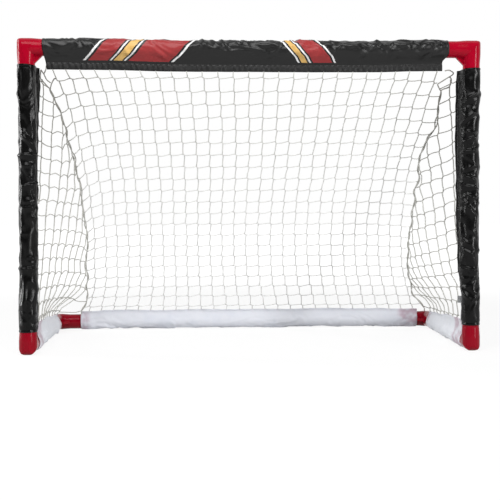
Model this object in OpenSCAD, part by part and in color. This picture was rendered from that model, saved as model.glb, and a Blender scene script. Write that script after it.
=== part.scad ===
// Small hockey goal: a push-together tube frame with six elbows, cloth sleeves and a knotted net.
// X runs across the mouth, -Y is the open front, +Z is up. The origin is on the floor, under the
// middle of the goal.

/* [Goal] */
// Overall width, over the elbows
goal_w = 711; // [500:1:1200]
// Overall height, floor to top of the elbows
goal_h = 481; // [360:1:900]
// Overall depth, front to back
goal_d = 310; // [240:1:600]

/* [Elbows] */
// Outside diameter of an elbow's arms
elbow_od = 26; // [25:0.5:34]
// Length of an arm from the corner's centre to its mouth
arm_len = 64; // [40:1:90]
// Depth of the small rest flats moulded on the corner
flat_depth = 0.3; // [0.2:0.1:0.8]
// Length of the thicker corner from its centre
knuckle_len = 8; // [6:1:16]
// Length over which the corner tapers down to the arm
knuckle_taper = 15; // [1:0.5:20]
// Radius that rounds the outer corner
corner_round = 9; // [3:0.5:12]
// Leg of the web between the arms, past the arm's wall
web_leg = 11; // [6:1:20]
// Thickness of the web
web_thick = 5; // [3:0.5:8]
// Distance from the corner's centre to the shoulder that stops a tube
socket_stop = 16; // [14:1:24]
// Chamfer inside an arm's mouth
mouth_chamfer = 0.8; // [0.3:0.1:1.2]

/* [Tubes] */
// Outside diameter of the tubes
tube_od = 21.3; // [18:0.1:22]
// Wall of the tubes
tube_wall = 2; // [1.2:0.1:3]
// Gap between a tube and its socket, all round
tube_fit = 0.15; // [0.1:0.05:0.3]

/* [Sleeves] */
// Thickness of one layer of cloth
cloth = 0.6; // [0.4:0.1:1]
// Gap between the cloth and the elbow arms
cloth_fit = 0.2; // [0.1:0.1:0.6]
// Distance from a sleeve's round part to where its two layers meet
gather = 5.2; // [4:0.2:8]
// Extra thickness of the turned-over hem on each face
hem_turn = 0.4; // [0.2:0.1:0.8]
// Gap between the left elbow's web and the crossbar sleeve
cross_gap_left = 1; // [1:1:30]
// Gap between the right elbow's web and the crossbar sleeve
cross_gap_right = 14; // [1:1:30]
// Depth of the crossbar hem below the sleeve's round part
cross_hem = 20; // [16:1:30]
// Width of the crossbar hem's turned-over band
cross_band = 10; // [5:1:11]
// Gap between a foot elbow's web and the post sleeve
post_gap_low = 1; // [1:1:20]
// Gap between a top elbow's web and the post sleeve
post_gap_top = 4; // [1:1:20]
// Depth of the post hems beyond the sleeve's round part
post_hem = 11; // [10:1:20]
// Width of the post hems' turned-over band
post_band = 4; // [2:0.5:5]
// Angle of the post hems from straight inwards
post_turn = 45; // [20:1:70]
// Gap between a foot elbow's web and the side sleeve
side_gap_front = 1; // [1:1:20]
// Gap between a rear elbow's web and the side sleeve
side_gap_rear = 21; // [1:1:30]
// Depth of the side hems beyond the sleeve's round part, at the front
side_hem_front = 22; // [10:1:28]
// The same depth at the rear
side_hem_rear = 9; // [9:1:20]
// Lean of the side hems, from upright
side_lean = 20; // [0:1:40]
// Gap between the left rear elbow's web and the rear sleeve
rear_gap_left = 20; // [1:1:30]
// Gap between the right rear elbow's web and the rear sleeve
rear_gap_right = 1; // [1:1:30]
// Depth of the rear hem beyond the sleeve's round part
rear_hem = 10; // [9:1:20]
// Lean of the rear hem, from upright
rear_lean = 32; // [0:1:50]
// Width of the turned-over band on the side and rear hems
floor_band = 3; // [2:0.5:4]

/* [Net] */
// Pitch of the modelled mesh
mesh_pitch = 39; // [34:1:90]
// Width and thickness of a strand
strand = 2.2; // [1.6:0.1:3]
// Distance from a post's centre to the back panel's upper corner
net_top_gap = 27; // [22:1:60]
// Distance from the left rear corner's centre to the back panel's lower corner
net_gap_left = 45; // [12:1:60]
// Distance from the right rear corner's centre to the back panel's lower corner
net_gap_right = 14; // [12:1:60]
// How far the corner seams are drawn in at mid height
seam_pull = 38; // [0:1:80]
// Diameter of the corner seam cords
seam_cord_d = 3; // [2:0.1:5]
// How far the rows droop along the corner seams
row_droop = 12; // [0:1:30]
// How far the back panel sags into the goal
net_sag = 4; // [0:1:20]
// Gap between the net's pieces and what they are sewn to
net_seat = 0.3; // [0.2:0.05:0.6]

/* [Sewn tab] */
// Height of the tab above the lower end of the right post's sleeve
tab_rise = 37; // [10:1:150]
// Height of the tab
tab_h = 11; // [6:1:20]
// How far the tab stands past the hem's edge
tab_reach = 3.5; // [2:0.5:9]
// How far the tab laps onto the hem
tab_lap = 3; // [2:0.5:5]
// Thickness of the tab
tab_thick = 1; // [0.6:0.1:1.6]

/* [Hidden] */
$fn = 48;
LEFT = -1;
RIGHT = 1;
EPS = 0.01;

elbow_color = "crimson";
tube_color = "whitesmoke";
black_cloth = [0.12, 0.12, 0.13];
white_cloth = [0.9, 0.91, 0.94];
net_color = [0.93, 0.93, 0.9];

arm_r = elbow_od / 2;
tube_r = tube_od / 2;
bore_r = tube_r + tube_fit;
passage_r = tube_r - tube_wall;
sleeve_in = arm_r + cloth_fit;
sleeve_out = sleeve_in + cloth;
rest_r = sleeve_out;              // everything that touches the floor reaches this far down
knuckle_r = rest_r + flat_depth;

post_x = goal_w / 2 - rest_r;     // tube centre lines
frame_y = goal_d / 2 - rest_r;
base_z = rest_r;
bar_z = goal_h - rest_r;

web_end = arm_r + web_leg;          // from a corner's centre to the end of its web
cross_left = web_end + cross_gap_left - post_x;
cross_right = post_x - web_end - cross_gap_right;
post_low = base_z + web_end + post_gap_low;
post_top = bar_z - web_end - post_gap_top;
side_front = web_end + side_gap_front - frame_y;
side_rear = frame_y - web_end - side_gap_rear;
rear_left = web_end + rear_gap_left - post_x;
rear_right = post_x - web_end - rear_gap_right;

// Distances from a tube's middle: where a sleeve's layers meet, and the edges of the hems.
meet = sleeve_out + gather;
cross_edge = sleeve_out + cross_hem;
post_edge = sleeve_out + post_hem;
side_edge_front = sleeve_out + side_hem_front;
side_edge_rear = sleeve_out + side_hem_rear;
rear_edge = sleeve_out + rear_hem;
hem_half = cloth + hem_turn;

// Where the net is sewn on.
post_seat = net_seat + hem_half * sin(post_turn) + strand / 2 * cos(post_turn);
side_seat = net_seat + hem_half * tan(side_lean);
rear_seat = net_seat + hem_half * abs(sin(rear_lean - back_lean()));
net_top_z = bar_z - cross_edge - net_seat - strand / 2;
net_front_y = -frame_y;
net_rear_y = frame_y - (rear_edge + rear_seat) * sin(rear_lean);
net_bottom_z = base_z + (rear_edge + rear_seat) * cos(rear_lean);
side_x = post_x - (post_edge + post_seat) * cos(post_turn);
side_front_y = -frame_y + (post_edge + post_seat) * sin(post_turn);

slope = [0, net_rear_y - net_front_y, net_bottom_z - net_top_z];
slope_len = norm(slope);
slope_dir = slope / slope_len;
slope_out = [0, -slope_dir[2], slope_dir[1]];   // away from the goal's inside

back_cols = max(2, round(2 * (post_x - net_top_gap) / mesh_pitch));
back_rows = max(2, round(slope_len / mesh_pitch));
side_rows = max(3, round((net_top_z - side_base_z(side_front_y)) / mesh_pitch));

// Lean of the back panel from upright, taken between the edges of its two hems.
function back_lean() = atan2(2 * frame_y - rear_edge * sin(rear_lean),
                             bar_z - cross_edge - base_z - rear_edge * cos(rear_lean));

// Where the net meets a side hem at a depth, from the tube's middle and then in the goal.
function side_tip(y) = side_seat
    + mix(side_edge_front, side_edge_rear,
          max(0, min(1, (y - side_front) / (side_rear - side_front))));
function side_base_x(y) = post_x - side_tip(y) * sin(side_lean);
function side_base_z(y) = base_z + side_tip(y) * cos(side_lean);

function bulge(v) = 4 * v * (1 - v);
function ease(t) = let (c = max(0, min(1, t))) c * c * (3 - 2 * c);
function mix(a, b, t) = a + (b - a) * t;

// ---- Elbow: arms along +X and +Z, corner at the origin ----

module along(axis) {
    if (axis == "x") rotate([0, 90, 0]) children();
    else children();
}

module elbow_arm(axis) {
    along(axis) {
        cylinder(r = arm_r, h = arm_len);
        cylinder(r = knuckle_r, h = knuckle_len);
        translate([0, 0, knuckle_len]) cylinder(r1 = knuckle_r, r2 = arm_r, h = knuckle_taper);
    }
}

module elbow_bore(axis) {
    along(axis) {
        cylinder(r = passage_r, h = arm_len);
        translate([0, 0, socket_stop]) cylinder(r = bore_r, h = arm_len);
        translate([0, 0, arm_len - mouth_chamfer])
            cylinder(r1 = bore_r, r2 = bore_r + mouth_chamfer + EPS, h = mouth_chamfer + EPS);
    }
}

// The mitred outer corner, where both arms' cylinders run on and meet.
module elbow_mitre(r) {
    intersection() {
        along("x") translate([0, 0, -r]) cylinder(r = r, h = r + EPS);
        along("z") translate([0, 0, -r]) cylinder(r = r, h = r + EPS);
    }
}

module elbow_web() {
    reach = arm_r + web_leg;
    rotate([90, 0, 0]) linear_extrude(web_thick, center = true)
        polygon([[passage_r, passage_r], [reach, passage_r], [reach, arm_r],
                 [arm_r, reach], [passage_r, reach]]);
}

// Rounds the silhouette of the outer corner and cuts the rest flats.
module elbow_trim() {
    far = 2 * knuckle_r;
    middle = corner_round - rest_r;
    difference() {
        translate([-far, -far, -far]) cube([far + middle, 2 * far, far + middle]);
        translate([middle, 0, middle]) rotate([90, 0, 0])
            cylinder(r = corner_round, h = 5 * far, center = true);
    }
    translate([-far, -far, -far - rest_r]) cube([2 * far, 2 * far, far]);
    translate([-far - rest_r, -far, -far]) cube([far, 2 * far, 2 * far]);
    for (side = [LEFT, RIGHT])
        translate([-far, side * (rest_r + far) - far, -far]) cube([2 * far, 2 * far, 2 * far]);
}

module elbow() {
    color(elbow_color) difference() {
        union() {
            elbow_arm("x");
            elbow_arm("z");
            elbow_mitre(knuckle_r);
            elbow_web();
        }
        elbow_bore("x");
        elbow_bore("z");
        elbow_mitre(passage_r);
        elbow_trim();
    }
}

module elbow_top(side) {
    translate([side * post_x, -frame_y, bar_z]) mirror([side > 0 ? 1 : 0, 0, 0])
        mirror([0, 0, 1]) elbow();
}

module elbow_foot(side) {
    translate([side * post_x, -frame_y, base_z]) rotate([0, 0, 90]) elbow();
}

module elbow_rear(side) {
    translate([side * post_x, frame_y, base_z]) mirror([side > 0 ? 1 : 0, 0, 0])
        rotate([90, 0, 0]) elbow();
}

// ---- Tubes ----

module tube(span) {
    length = span - 2 * socket_stop;
    color(tube_color) difference() {
        cylinder(r = tube_r, h = length, center = true);
        cylinder(r = passage_r, h = length + 1, center = true);
    }
}

module cross_tube() {
    translate([0, -frame_y, bar_z]) rotate([0, 90, 0]) tube(2 * post_x);
}

module post_tube(side) {
    translate([side * post_x, -frame_y, (base_z + bar_z) / 2]) tube(bar_z - base_z);
}

module side_tube(side) {
    translate([side * post_x, 0, base_z]) rotate([90, 0, 0]) tube(2 * frame_y);
}

module rear_tube() {
    translate([0, frame_y, base_z]) rotate([0, 90, 0]) tube(2 * post_x);
}

// ---- Sleeves: cloth round a tube, its two layers sewn together in a hem towards +X ----

module sleeve_skin(r, tip, half) {
    turn = acos(r / tip);
    circle(r = r);
    polygon([[0, 0], [r * cos(turn), -r * sin(turn)], [tip, -half], [tip, half],
             [r * cos(turn), r * sin(turn)]]);
}

// The hem's edge can lie further out at one end of the sleeve than at the other.
module sleeve(length, band, edge, end_edge) {
    linear_extrude(length) difference() {
        sleeve_skin(sleeve_out, meet, cloth);
        sleeve_skin(sleeve_in, meet - 2 * cloth, EPS);
    }
    hem_layer(length, cloth, [meet - EPS, edge], [meet - EPS, end_edge]);
    hem_layer(length, hem_half, [edge - band, edge], [end_edge - band, end_edge]);
}

// A flat strip of hem. start and end hold its two limits at the sleeve's ends.
module hem_layer(length, half, start, end) {
    rotate([90, 0, 0]) linear_extrude(2 * half, center = true)
        polygon([[start[0], 0], [start[1], 0], [end[1], length], [end[0], length]]);
}

module cross_sleeve() {
    color(black_cloth) translate([cross_left, -frame_y, bar_z]) rotate([0, 90, 0])
        sleeve(cross_right - cross_left, cross_band, cross_edge, cross_edge);
}

module post_sleeve(side) {
    inward = side < 0 ? post_turn : 180 - post_turn;
    color(black_cloth) translate([side * post_x, -frame_y, post_low])
        rotate([0, 0, inward]) sleeve(post_top - post_low, post_band, post_edge, post_edge);
}

module side_sleeve(side) {
    upward = side < 0 ? side_lean - 90 : -90 - side_lean;
    color(white_cloth) translate([side * post_x, side_front, base_z])
        rotate([-90, 0, 0]) rotate([0, 0, upward])
            sleeve(side_rear - side_front, floor_band, side_edge_front, side_edge_rear);
}

module rear_sleeve() {
    color(white_cloth) translate([rear_left, frame_y, base_z]) rotate([0, 90, 0])
        rotate([0, 0, 180 + rear_lean])
            sleeve(rear_right - rear_left, floor_band, rear_edge, rear_edge);
}

// ---- Net surfaces ----

// A point on a corner seam, v running from the crossbar (0) to the floor (1).
function seam_point(side, v) =
    let (corner_gap = side < 0 ? net_gap_left : net_gap_right,
         half = post_x - mix(net_top_gap, corner_gap, v)
            - seam_pull * (1 - pow(abs(2 * v - 1), 2.2)))
    [side * half, net_front_y, net_top_z] + v * slope;

// Rows sink along the seams, so a row that leaves the middle at v meets the seam lower down.
function sunk(v, u) = v + row_droop / slope_len * bulge(v) * pow(abs(u), 4);

function back_point(u, v) =
    let (low = sunk(v, u),
         left = seam_point(LEFT, low), right = seam_point(RIGHT, low),
         gap = [seam_cord_d / 2 + net_seat, 0, 0])
    mix(left + gap, right - gap, (u + 1) / 2)
        - slope_out * net_sag * bulge(v) * (1 - u * u);

// Rows of a side panel start at the post's hem and end at the seam.
function side_seam(side, v) =
    let (gap = (seam_cord_d / 2 + net_seat) / -slope_dir[2])
    seam_point(side, sunk(v, 1)) - [0, gap + strand / 2, 0];

// The panel's lower edge follows the side sleeve's hem and then turns in to the corner seam.
function side_floor(side, y, a) =
    let (corner = side_seam(side, 1),
         x = mix(side_x, side_base_x(y), min(1, a / 0.1)))
    [mix(side * x, corner[0], ease((a - 0.8) / 0.2)), y,
     mix(side_base_z(y), corner[2], ease((a - 0.8) / 0.2))];

function side_point(side, y, v) =
    let (seam = side_seam(side, v),
         a = (y - side_front_y) / max(1, seam[1] - side_front_y),
         floor_at = side_floor(side, y, a),
         low = ease((v - 0.84) / 0.16),
         x = mix(side * side_x, seam[0], sin(90 * a)),
         z = mix(mix(net_top_z, side_base_z(side_front_y), v), seam[2], a))
    [mix(x, floor_at[0], low), y, mix(z, floor_at[2], low)];

// ---- Net solids: strands along the edges of cells, as one closed skin ----
// points: the mesh's corners. cells: for each mesh the numbers of its corners, turning
// anticlockwise seen from the side that out points to. rim: for each cell the numbers of its
// sides that lie on the net's border.

function total(list, n = 0) = n == len(list) ? [0, 0, 0] : list[n] + total(list, n + 1);

function hole_points(points, cell) =
    let (middle = total([for (k = cell) points[k]]) / len(cell), share = strand / mesh_pitch)
    [for (k = [0:3]) mix(points[cell[min(k, len(cell) - 1)]], middle, share)];

function quad(a, b, c, d) = [[a, b, c], [a, c, d]];

module net_solid(points, cells, rim, out) {
    count = len(points);
    holes = [for (cell = cells) each hole_points(points, cell)];
    first = 2 * count;
    second = first + len(holes);
    half = out * strand / 2;
    faces = [
        for (c = [0:len(cells) - 1])
            let (cell = cells[c], n = len(cell))
            for (k = [0:n - 1])
                let (m = (k + 1) % n, a = cell[k], b = cell[m],
                     ha = 4 * c + k, hb = 4 * c + m)
                each concat(
                    quad(a, first + ha, first + hb, b),
                    quad(count + b, second + hb, second + ha, count + a),
                    quad(first + ha, second + ha, second + hb, first + hb),
                    len(search(k, rim[c])) > 0 ? quad(a, b, count + b, count + a) : [])
    ];
    polyhedron(
        points = concat([for (p = points) p + half], [for (p = points) p - half],
                        [for (p = holes) p + half], [for (p = holes) p - half]),
        faces = faces);
}

module net_back() {
    wide = back_cols + 1;
    points = [for (j = [0:back_rows]) for (i = [0:back_cols])
        back_point(2 * i / back_cols - 1, j / back_rows)];
    spots = [for (j = [0:back_rows - 1]) for (i = [0:back_cols - 1]) [i, j]];
    cells = [for (s = spots) let (a = s[1] * wide + s[0]) [a, a + wide, a + wide + 1, a + 1]];
    rim = [for (s = spots) concat(
        s[0] == 0 ? [0] : [], s[1] == back_rows - 1 ? [1] : [],
        s[0] == back_cols - 1 ? [2] : [], s[1] == 0 ? [3] : [])];
    color(net_color) net_solid(points, cells, rim, slope_out);
}

// Meshes in each row of a side panel: a row gains one where the panel has grown by a pitch.
function side_len(j) = side_seam(LEFT, j / side_rows)[1] - side_front_y;
function side_cols(j) = j == 0 ? 0 : max(1, ceil(side_len(j) / mesh_pitch - 0.3));
function row_start(j) = j == 0 ? 0 : row_start(j - 1) + side_cols(j - 1) + 1;

module net_side(side) {
    points = [for (j = [0:side_rows]) let (v = j / side_rows, n = side_cols(j))
        for (i = [0:n])
            let (y = i < n ? side_front_y + i * mesh_pitch
                           : max(side_front_y, side_seam(side, v)[1]))
            side_point(side, y, v)];
    spots = [for (j = [0:side_rows - 1]) for (i = [0:side_cols(j + 1) - 1]) [i, j]];
    cells = [for (s = spots)
        let (i = s[0], j = s[1], top = row_start(j) + i, low = row_start(j + 1) + i,
             loop = i < side_cols(j) ? [top, low, low + 1, top + 1] : [top, low, low + 1])
        side < 0 ? loop : [for (k = [len(loop) - 1:-1:0]) loop[k]]];
    rim = [for (s = spots)
        let (i = s[0], j = s[1], n = i < side_cols(j) ? 4 : 3,
             sides = concat(i == 0 ? [0] : [], j == side_rows - 1 ? [1] : [],
                            i == side_cols(j + 1) - 1 ? [2] : []))
        side < 0 ? sides : [for (k = sides) n - 2 - k < 0 ? n - 1 : n - 2 - k]];
    color(net_color) net_solid(points, cells, rim, [-1, 0, 0]);
}

// Tube swept down a corner seam.
module seam_cord(side) {
    rings = 24;
    sides = 8;
    r = seam_cord_d / 2;
    points = [for (j = [0:rings]) for (k = [0:sides - 1])
        seam_point(side, j / rings)
            + r * (cos(360 * k / sides) * [1, 0, 0] + sin(360 * k / sides) * slope_out)];
    walls = [for (j = [0:rings - 1]) for (k = [0:sides - 1])
        let (a = j * sides + k, b = j * sides + (k + 1) % sides)
        each quad(a, b, b + sides, a + sides)];
    caps = [for (k = [1:sides - 2]) each [[0, k + 1, k],
        [rings * sides, rings * sides + k, rings * sides + k + 1]]];
    color(net_color) polyhedron(points = points, faces = concat(walls, caps));
}

// ---- Folded tab sewn to the inner face of the right post's hem ----

module sewn_tab() {
    color("silver") translate([post_x, -frame_y, post_low + tab_rise])
        rotate([0, 0, 180 - post_turn]) translate([post_edge - tab_lap, hem_half, 0])
            cube([tab_lap + tab_reach, tab_thick, tab_h]);
}

elbow_top(LEFT);  // elbow_top_left
elbow_top(RIGHT);  // elbow_top_right
elbow_foot(LEFT);  // elbow_foot_left
elbow_foot(RIGHT);  // elbow_foot_right
elbow_rear(LEFT);  // elbow_rear_left
elbow_rear(RIGHT);  // elbow_rear_right
cross_tube();  // crossbar_tube
post_tube(LEFT);  // post_tube_left
post_tube(RIGHT);  // post_tube_right
side_tube(LEFT);  // side_tube_left
side_tube(RIGHT);  // side_tube_right
rear_tube();
cross_sleeve();  // crossbar_sleeve
post_sleeve(LEFT);  // post_sleeve_left
post_sleeve(RIGHT);  // post_sleeve_right
side_sleeve(LEFT);  // side_sleeve_left
side_sleeve(RIGHT);  // side_sleeve_right
rear_sleeve();
net_back();
net_side(LEFT);  // net_left
net_side(RIGHT);  // net_right
seam_cord(LEFT);  // seam_cord_left
seam_cord(RIGHT);  // seam_cord_right
sewn_tab();
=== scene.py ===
"""Small hockey goal: tubes in six red elbows, cloth sleeves and a twine net, set in a plain studio."""

from __future__ import annotations

import logging
import math
import random
from abc import ABC, abstractmethod
from contextlib import contextmanager
from dataclasses import dataclass, field
from enum import Enum
from itertools import accumulate
from typing import Callable, Iterator, Sequence, Union

import bpy
import numpy as np
from mathutils import Euler, Matrix, Vector, noise

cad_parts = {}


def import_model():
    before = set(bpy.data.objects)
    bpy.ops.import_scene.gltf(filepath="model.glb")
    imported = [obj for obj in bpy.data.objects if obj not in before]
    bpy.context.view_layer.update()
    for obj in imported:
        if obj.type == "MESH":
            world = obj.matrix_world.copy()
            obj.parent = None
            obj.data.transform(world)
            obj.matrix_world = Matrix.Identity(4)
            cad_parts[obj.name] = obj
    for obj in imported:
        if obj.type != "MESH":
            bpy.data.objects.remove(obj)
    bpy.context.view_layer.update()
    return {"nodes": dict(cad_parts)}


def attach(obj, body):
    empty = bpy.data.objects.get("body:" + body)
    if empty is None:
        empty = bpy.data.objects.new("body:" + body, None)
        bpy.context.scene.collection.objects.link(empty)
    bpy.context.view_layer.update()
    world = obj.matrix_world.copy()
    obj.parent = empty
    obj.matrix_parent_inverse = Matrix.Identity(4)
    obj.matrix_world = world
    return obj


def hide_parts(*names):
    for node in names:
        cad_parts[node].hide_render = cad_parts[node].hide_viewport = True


LOG = logging.getLogger("goal")
MM = 0.001
TURN = 2 * math.pi
BODY = "root"
MAP = "UVMap"
Pair = tuple[float, float]
Table = Sequence[Pair]
Triple = tuple[float, float, float]
Curve = Callable[[float], float]
Edge = Callable[[float], Vector]


class Side(Enum):
    """The goal's left and right, seen from its open front."""

    LEFT = -1
    RIGHT = 1

    @property
    def word(self) -> str:
        """The side's name in lower case."""
        return self.name.lower()


class Slot(Enum):
    """The record's material slots, one named for each kind of piece."""

    BLACK = "black_cloth"
    WHITE = "white_cloth"
    TWINE = "twine"
    TAPE = "tab_tape"


# ---- Small helpers ----


def mix(a: float, b: float, t: float) -> float:
    """A number between two others: a at t = 0 and b at t = 1."""
    return a + (b - a) * t


def hold(t: float, most: float = 1.0) -> float:
    """A number held between 0 and the most."""
    return max(0.0, min(most, t))


def ease(t: float) -> float:
    """Smooth step from 0 to 1, held before and after."""
    c = hold(t)
    return c * c * (3 - 2 * c)


def ease_all(t: np.ndarray) -> np.ndarray:
    """Smooth step for a whole array."""
    c = np.clip(t, 0.0, 1.0)
    return c * c * (3 - 2 * c)


def hump(t: float) -> float:
    """A curve that is 0 at both ends and 1 in the middle."""
    return 4 * hold(t) * (1 - hold(t))


def bell(x: float, middle: float, width: float) -> float:
    """A bell curve that is 1 in its middle."""
    return math.exp(-((x - middle) / width) ** 2)


def along_table(table: Table, x: float) -> float:
    """Reads a smooth curve that is given by a few chosen spots.

    Args:
        table: Pairs of place and value, in rising order.
        x: Where the curve is read.

    Returns:
        The value there, held at the ends.
    """
    if x <= table[0][0]:
        return table[0][1]
    if x >= table[-1][0]:
        return table[-1][1]
    k = max(i for i, (at, _) in enumerate(table) if at <= x)
    (x1, y1), (x2, y2) = table[k], table[k + 1]
    before = table[k - 1] if k > 0 else table[k]
    after = table[k + 2] if k + 2 < len(table) else table[k + 1]
    m1 = (y2 - before[1]) / (x2 - before[0])
    m2 = (after[1] - y1) / (after[0] - x1)
    w = x2 - x1
    t = (x - x1) / w
    return ((2 * t**3 - 3 * t**2 + 1) * y1 + (t**3 - 2 * t**2 + t) * w * m1
            + (3 * t**2 - 2 * t**3) * y2 + (t**3 - t**2) * w * m2)


def deselect() -> None:
    """Clears the selection, so that an operator acts only on what is picked next."""
    for other in bpy.context.selected_objects:
        other.select_set(False)


def pick(thing: bpy.types.Object) -> None:
    """Makes one object the only selected and active one.

    Args:
        thing: The object.
    """
    deselect()
    thing.select_set(True)
    bpy.context.view_layer.objects.active = thing


@contextmanager
def editing(thing: bpy.types.Object) -> Iterator[None]:
    """Edit mode with all of an object's mesh selected.

    Args:
        thing: The object.
    """
    pick(thing)
    bpy.ops.object.mode_set(mode="EDIT")
    bpy.ops.mesh.select_all(action="SELECT")
    yield
    bpy.ops.object.mode_set(mode="OBJECT")


def apply_modifiers(thing: bpy.types.Object) -> None:
    """Applies all of an object's modifiers in their order.

    Args:
        thing: The object.
    """
    pick(thing)
    for modifier in list(thing.modifiers):
        bpy.ops.object.modifier_apply(modifier=modifier.name)


def link(name: str, data: bpy.types.ID) -> bpy.types.Object:
    """Adds an object.

    Args:
        name: Its name.
        data: Its mesh, light or camera.

    Returns:
        The object.
    """
    made = bpy.data.objects.new(name, data)
    bpy.context.collection.objects.link(made)
    return made


def settle(thing: bpy.types.Object, name: str, finish: bpy.types.Material, slot: Slot,
           *nodes: str) -> None:
    """Names and dresses a finished piece, and ties it to the goal.

    Args:
        thing: The piece.
        name: Its name.
        finish: Its material.
        slot: Its material slot, not used.
        nodes: CAD nodes that the piece stands for.
    """
    thing.name = name
    thing.data.name = name
    thing.data.materials.clear()
    thing.data.materials.append(finish)
    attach(thing, BODY)
    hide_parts(*nodes)
    LOG.info("%s: %d faces", name, len(thing.data.polygons))


# ---- Shader building ----

Value = Union[float, "Signal"]


def math_node(operation: str, flipped: bool = False) -> Callable[..., Signal]:
    """Makes a method of Signal that adds one Math node.

    Args:
        operation: Blender's name of the operation.
        flipped: Whether the signal itself is the second input.

    Returns:
        The method.
    """

    def method(self: Signal, *others: Value) -> Signal:
        """The operation's result for this signal and the others."""
        inputs = (*others, self) if flipped else (self, *others)
        return self.tree.add("Math", dict(enumerate(inputs)), operation=operation)

    return method


class Signal:
    """A number that comes out of a node's socket, with arithmetic that adds Math nodes.

    A comparison gives 1 or 0, size is the number without its sign, and part is what follows
    its decimal point.
    """

    def __init__(self, tree: Tree, socket: bpy.types.NodeSocket) -> None:
        """Wraps one of a tree's output sockets."""
        self.tree = tree
        self.socket = socket

    __add__, __radd__ = math_node("ADD"), math_node("ADD", flipped=True)
    __sub__, __rsub__ = math_node("SUBTRACT"), math_node("SUBTRACT", flipped=True)
    __mul__, __truediv__ = math_node("MULTIPLY"), math_node("DIVIDE")
    __gt__, __lt__ = math_node("GREATER_THAN"), math_node("LESS_THAN")
    sine, size, part = math_node("SINE"), math_node("ABSOLUTE"), math_node("FRACT")

    def clamp(self) -> Signal:
        """The signal held between 0 and 1."""
        return self.tree.add("Clamp", {0: self})

    def lift(self) -> Signal:
        """A signal from -1 to 1, brought to 0 to 1."""
        return self * 0.5 + 0.5

    def waves(self, pitch: float) -> Signal:
        """Sine waves of a length along the signal."""
        return (self * (TURN / pitch)).sine()

    def step(self, low: float, high: float) -> Signal:
        """Smooth step.

        Args:
            low: Where the step starts.
            high: Where it ends. Below low, the step falls.

        Returns:
            0 to 1 over that stretch.
        """
        ends = {1: min(low, high), 2: max(low, high), 3: 0.0, 4: 1.0}
        result = self.tree.add("MapRange", {0: self, **ends}, interpolation_type="SMOOTHSTEP")
        return 1 - result if high < low else result


class Tree:
    """The node tree of a material or of the world."""

    def __init__(self, name: str, world: bool = False) -> None:
        """Starts an empty material or world.

        Args:
            name: Its name.
            world: Whether it is the world.
        """
        self.kind = "World" if world else "Material"
        self.owner = bpy.data.worlds.new(name) if world else bpy.data.materials.new(name)
        self.owner.use_nodes = True
        self.nodes = self.owner.node_tree.nodes
        self.links = self.owner.node_tree.links
        self.nodes.clear()

    def add(self, kind: str, sockets: dict | None = None, output: int | str = 0,
            **settings: str) -> Signal:
        """Adds one node.

        Args:
            kind: The node's type.
            sockets: Input names or numbers with their values or links.
            output: Which output to return.
            settings: Properties of the node.

        Returns:
            The chosen output.
        """
        node = self.nodes.new(f"ShaderNode{kind}")
        for key, value in settings.items():
            setattr(node, key, value)
        for key, value in (sockets or {}).items():
            target = node.inputs[key]
            if isinstance(value, Signal):
                self.links.new(value.socket, target)
            else:
                target.default_value = (*value, 1.0) if target.type == "RGBA" else value
        return Signal(self, node.outputs[output])

    def place(self, scale: Triple = (1, 1, 1)) -> Signal:
        """Object coordinates, with the pattern's space scaled."""
        spot = self.add("TexCoord", output="Object")
        return self.add("Mapping", {"Vector": spot, "Scale": scale})

    def sheet(self, length: float = 1.0, girth: float = 1.0) -> tuple[Signal, Signal]:
        """Places along and round a piece, from its own UV map.

        Args:
            length: Length that the map's first axis stands for.
            girth: Length that its second axis stands for.

        Returns:
            Both places.
        """
        flat = self.add("UVMap", uv_map=MAP)
        cloth = self.add("Mapping", {"Vector": flat, "Scale": (length, girth, 1)})
        return self.axis(cloth, "X"), self.axis(cloth, "Y")

    def axis(self, vector: Signal, name: str) -> Signal:
        """The X, Y or Z part of a vector."""
        return self.add("SeparateXYZ", {0: vector}, name)

    def gap(self, spot: Signal, centre: Triple = (0, 0, 0)) -> Signal:
        """Distance of the coordinates from a point."""
        return self.add("VectorMath", {0: spot, 1: centre}, "Value", operation="DISTANCE")

    def grain(self, at: Signal, scale: float, detail: float = 3.0, rough: float = 0.55) -> Signal:
        """Soft noise from 0 to 1, with patches per metre, octaves and the finer ones' strength."""
        return self.add("TexNoise", {"Vector": at, "Scale": scale, "Detail": detail,
                                     "Roughness": rough}, "Fac")

    def blend(self, a: Triple | Signal, b: Triple | Signal, factor: Value) -> Signal:
        """Mix of two colours: a where the factor is 0 and b where it is 1."""
        return self.add("Mix", {"Factor": factor, 6: a, 7: b}, 2, data_type="RGBA")

    def bump(self, height: Signal, distance: float, strength: float,
             under: Signal | None = None) -> Signal:
        """A Bump node.

        Args:
            height: Relief from 0 to 1.
            distance: How high 1 is, in metres.
            strength: Strength of the effect.
            under: A normal that this relief lies on.

        Returns:
            The normal.
        """
        sockets = {"Height": height, "Distance": distance, "Strength": strength}
        if under is not None:
            sockets["Normal"] = under
        return self.add("Bump", sockets)

    def shown(self, mirrored: Value = 1.0) -> Signal:
        """How far a ray shows the white backdrop, of which a mirroring shows a share."""
        straight, through, back = (self.add("LightPath", output=f"Is {kind} Ray")
                                   for kind in ("Camera", "Transmission", "Glossy"))
        return (straight + through + back * mirrored).clamp()

    def close(self, shader: Signal) -> bpy.types.Material | bpy.types.World:
        """Links a shader to the output.

        Args:
            shader: The shader.

        Returns:
            The material or world.
        """
        end = self.nodes.new(f"ShaderNodeOutput{self.kind}")
        self.links.new(shader.socket, end.inputs["Surface"])
        return self.owner

    def finish(self, sockets: dict) -> bpy.types.Material:
        """Ends the tree with a Principled shader that has these inputs."""
        return self.close(self.add("BsdfPrincipled", sockets))


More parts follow.
